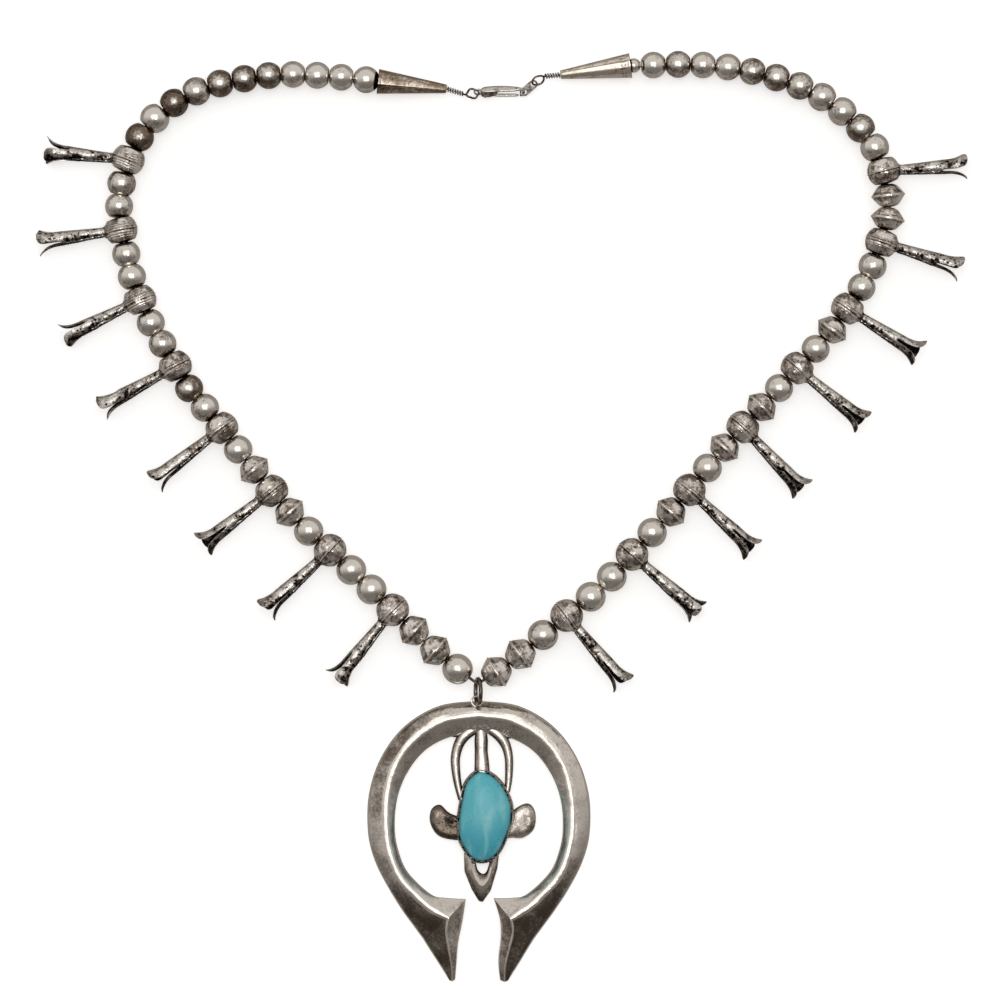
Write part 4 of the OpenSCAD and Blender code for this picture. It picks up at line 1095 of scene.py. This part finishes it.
def clasp_frame():
    """The clasp's cast body: eye, collar, curved back, two cheeks beside the lever, and the hook."""
    hook = [(HOOK_AT + HOOK_RADIUS * math.cos(t), HOOK_RADIUS * math.sin(t), 0.52, 0.6)
            for t in np.radians(np.linspace(80, HOOK_END, 9))]
    back = [(-6.35, 0.5, 0.45, 0.75), (-5.7, 0.95, 0.5, 1.0), (-4.9, 1.2, 0.42, 1.18), (-3, 1.45, 0.48, 1.26),
            (-0.5, 1.6, 0.52, 1.28), (2, 1.62, 0.52, 1.22), (4.5, 1.58, 0.54, 1.05), (6.0, 1.56, 0.54, 0.8)]
    cheek = [(-6.3, -0.1, 0.75, 0.28), (-5.4, -0.1, 1.3, 0.28), (-4.2, 0.0, 1.5, 0.28),
             (-3.0, 0.15, 1.35, 0.27), (-2.0, 0.45, 0.95, 0.25), (-1.2, 0.9, 0.5, 0.2),
             (-0.6, 1.3, 0.2, 0.15)]
    collar = [(-6.5, 0.0, 0.7, 0.75), (-6.2, 0.0, 1.0, 0.95), (-5.9, 0.0, 1.0, 1.0), (-5.6, 0.0, 0.8, 0.9)]
    parts = [lofted(back + hook, 0.25), lofted(collar, 0.6)]
    parts += [lofted(cheek, 0.7, depth) for depth in (-1.04, 1.04)]
    t = around(40)
    ring = np.cos(t)[:, None] * (1, 0, 0) + np.sin(t)[:, None] * CLASP_UP
    eye = CLASP_MIDDLE + (-EYE_AT, 0, 0) + 1.27 * ring
    p, f = wire(eye, 0.29, closed=True)
    parts.append((p, f, marks(p, 0.3, 0.1)))
    return parts


def clasp_trigger():
    """The sprung lever: an arm that closes the hook and a thumb piece below its pin."""
    arm = [(-4.0, 0.15, 0.25, 0.55), (-3.5, -0.45, 0.6, 0.62), (-2.4, -1.1, 0.6, 0.62), (-1, -1.5, 0.48, 0.6),
           (1.5, -1.58, 0.46, 0.58), (4.5, -1.55, 0.48, 0.55), (6.4, -1.52, 0.5, 0.52)]
    thumb = [(-3.7, -0.7, 0.6, 0.6), (-4.3, -1.4, 0.6, 0.62), (-4.9, -2.1, 0.5, 0.6),
             (-5.25, -2.55, 0.3, 0.5)]
    return [lofted(arm, 0.0), lofted(thumb, 0.35)]


def cone(mouth, point, crimped, tarnish):
    """A sheet cone with its lapped seam and a turned lip at the mouth, with or without a crimped ring."""
    mouth, point = np.array(mouth), np.array(point)
    length = float(np.linalg.norm(point - mouth))
    wide, narrow = CONE_WIDE, CONE_NARROW
    outer = [(wide, 0.0), (wide, 0.25), (4.1, 0.6), (4.02, 0.8)]
    outer += [(wide + (narrow - wide) * s, s * length) for s in np.linspace(0.05, 0.975, 56)]
    outer += [(narrow - 0.03, length - 0.2), (narrow - 0.15, length - 0.02), (0.9, length)]
    inner = [(0.62, length - 0.05), (0.62, length - 0.9), (1.05, length - 1.2)]
    inner += [(wide + (narrow - wide) * s - SHEET, s * length) for s in np.linspace(0.9, 0.04, 12)]
    profile = np.array(outer + inner + [(3.85, 0.05), (4.0, 0.0), outer[0]])
    sides = 144
    rows = turned(profile, sides)
    count = len(outer)
    angle = around(sides)
    # degrees from the lapped seam, where a groove runs with a lip beside it
    lap = (np.degrees(angle) - CONE_SEAM + 180) % 360 - 180
    groove = -0.1 * hump(lap, 1.5, 2.6) + 0.1 * hump(lap, -4, 4)
    groove = np.repeat(groove[None, :], count, 0)
    crimp = np.zeros((len(profile), sides))
    if crimped:
        z = profile[:count, 1:]
        ring = hump(z, 2.9, 0.34) + hump(z, 1.9, 0.3)
        crimp[:count] = ring * (0.5 + 0.5 * np.cos(18 * angle))
        groove = groove - 0.2 * crimp[:count]
    r = np.hypot(rows[:count, :, 0], rows[:count, :, 1])
    rows[:count, :, :2] *= (1 + groove / r)[..., None]
    turn, place = laid(mouth, point, 0)
    p, f = grid(rows, closed=True, flip=True)
    dark = np.tile(0.8 * hump(lap, 1.5, 3.5), len(profile))
    bright = np.tile(0.8 * hump(lap, -4, 4), len(profile))
    inside = np.repeat((np.arange(len(profile)) >= count) * 0.5, sides)
    return p @ turn.T + place, f, marks(p, tarnish + dark + inside + 0.7 * crimp.ravel(), bright)


def bail():
    """The jump ring that hangs the pendant, standing in the gap between the two sides of the strand."""
    middle, radius, thick, tipped = (-7.8, -57.8, 4.9), 4.2, 0.7, 102
    flat = ring_at(radius * circle(72), 0)
    p, f = wire(flat @ about("y", tipped).T + middle, thick, 18, True)
    return p, f, marks(p, 0.3, 0.1)


def mouth_bead(start, mouth):
    """The small bead that fills the right cone's mouth."""
    across, length = 4.8, 4.5
    side = bead_side(across, length, BORE + 0.5, 22)
    turn, place = laid(start, start + unit(np.array(mouth) - start), across / 2)
    p, f = grid(turned(drilled(side), 40), closed=True)
    return p @ turn.T + place, f, marks(p, 0.15)


# making

camera_over_the_table()
studio()

pearl = hand_polished_silver()
stamped = stamped_silver()
aged = aged_silver()
cast = tufa_cast_silver()
bright = bright_silver()
dimmed = bright_silver("dimmed_silver", 0.5)
rolled = rolled_silver()
turquoise = polished_turquoise()
cable = steel_cable()

left = knots(LEFT_KINDS, LEFT_LENGTHS, LEFT_COURSE)
right = knots(RIGHT_KINDS, RIGHT_LENGTHS, RIGHT_COURSE)
for side, kinds, ends, tarnish, headings, turns, lines, seam_side in (
        ("left", LEFT_KINDS, left, LEFT_TARNISH, LEFT_HEADINGS, LEFT_TURNS, LEFT_LINES, -64),
        ("right", RIGHT_KINDS, right, RIGHT_TARNISH, RIGHT_HEADINGS, RIGHT_TURNS, RIGHT_LINES, 64)):
    piece(f"round_bead_row_{side}", round_beads(kinds, ends, tarnish), pearl, "bead_silver",
          f"round_beads_{side}")
    for n, i in enumerate(numbers(kinds, "b")):
        piece(f"flanged_bead_{side}_{n + 1}", [bicone(ends[i], ends[i + 1], tarnish[i])], aged,
              "blossom_silver", f"bicone_{side}_{n + 1}")
    for n, i in enumerate(numbers(kinds, "S")):
        blossom(f"squash_blossom_{side}_{n + 1}", f"blossom_{side}_{n + 1}", ends[i], ends[i + 1],
                headings[n], turns[n], n / 7, tarnish[i], lines[n], seam_side, aged, stamped)

piece("crescent", [crescent()], cast, "cast_silver", "naja", crease=30)
bars = [half_round(MIDDLE_BAR, 0.2), half_round(LEFT_BAR, 0.25), half_round(RIGHT_BAR, 0.2)]
piece("pendant_bars", bars + [half_round(line, 0.6) for line in FILLETS], cast, "cast_silver")
for name, outline, middle, dent, tarnish in (
        ("leaf_left", LEFT_LEAF, (-18.6, -102.6), ((-17.4, -102.0), (2.4, 1.6), 1.1), 0.85),
        ("leaf_right", RIGHT_LEAF, (6.2, -101.6), ((3.2, -101.5), (1.2, 3.0), 0.4), 0.45)):
    piece(name, [domed(outline, middle, dent, tarnish)], cast, "cast_silver")
piece("lower_drop", [lower_drop()], cast, "cast_silver", crease=30)
piece("bezel_strip", [bezel(), base_plate()], bright, "cast_silver")
under_loop = solder_grains([(-8.0, -63.6)], count=16, spread=(1.0, 0.7), size=0.45,
                           height=lambda x, y: 2.2, tarnish=0.2)
bar_feet = [(-9.4, -70.0), (-7.2, -69.5), (-4.8, -69.9), (0.7, -71.8)]
at_feet = solder_grains(bar_feet, count=13, spread=(0.9, 0.4), size=0.32, height=crescent_height,
                        tarnish=0.3)
piece("solder", under_loop + at_feet + pendant_loop(), bright, "cast_silver")
piece("turquoise_cabochon", [stone()], turquoise, "turquoise", "turquoise_stone")

# the left eye hangs in the clasp's own eye, the right one in the tag's upper hole
left_side = math.cos(math.radians(20)) * np.array([1, 0, 0]) - math.sin(math.radians(20)) * CLASP_OUT
left_eye = CLASP_MIDDLE - (EYE_AT, 0, 0) - left_side * LEFT_EYE
tag_upper = CLASP_MIDDLE + (HOOK_AT + HOOK_RADIUS + 0.15, 0, 0) + np.array([3.1, 2.7, -0.9])
right_side = unit((-0.78, -0.6, -0.3))
right_eye = tag_upper - right_side * RIGHT_EYE
left_wire = wire_eye(left_eye, left_side, CLASP_UP, LEFT_POINT, LEFT_EYE, corner=0.09, thick=0.36, turns=6.4)
right_wire = wire_eye(right_eye, right_side, (0.56, -0.5, 0.62), RIGHT_POINT, RIGHT_EYE, corner=0.03,
                      thick=0.34, turns=5.6)
piece("wire_eye_left", left_wire, dimmed, "clasp_silver", "wire_loop_left")
piece("wire_eye_right", right_wire, dimmed, "clasp_silver", "wire_loop_right")
for side, mouth, point, crimped, tarnish in (
        ("left", LEFT_MOUTH, LEFT_POINT, False, 0.6), ("right", RIGHT_MOUTH, RIGHT_POINT, True, 0.04)):
    piece(f"sheet_cone_{side}", [cone(mouth, point, crimped, tarnish)], rolled, "clasp_silver",
          f"cone_{side}", crease=50)
piece("clasp_frame", clasp_frame(), bright, "clasp_silver", "clasp_body")
piece("clasp_trigger", clasp_trigger(), bright, "clasp_silver", "clasp_lever", body="lever")
piece("bail", [bail()], dimmed, "clasp_silver", "bail_ring")
piece("cone_bead", [mouth_bead(right[0], RIGHT_MOUTH)], pearl, "bead_silver", "mouth_bead")

# two CAD nodes keep their own shapes: the cable, and the tag with its edges rounded off
for node, finish in (("thread", cable), ("chain_tag", dimmed)):
    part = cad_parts[node]
    part.data.materials.clear()
    part.data.materials.append(finish)
round_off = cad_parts["chain_tag"].modifiers.new("round_off", "BEVEL")
round_off.width = 0.12 * MM
round_off.segments = 3
round_off.limit_method = "ANGLE"
round_off.angle_limit = math.radians(35)
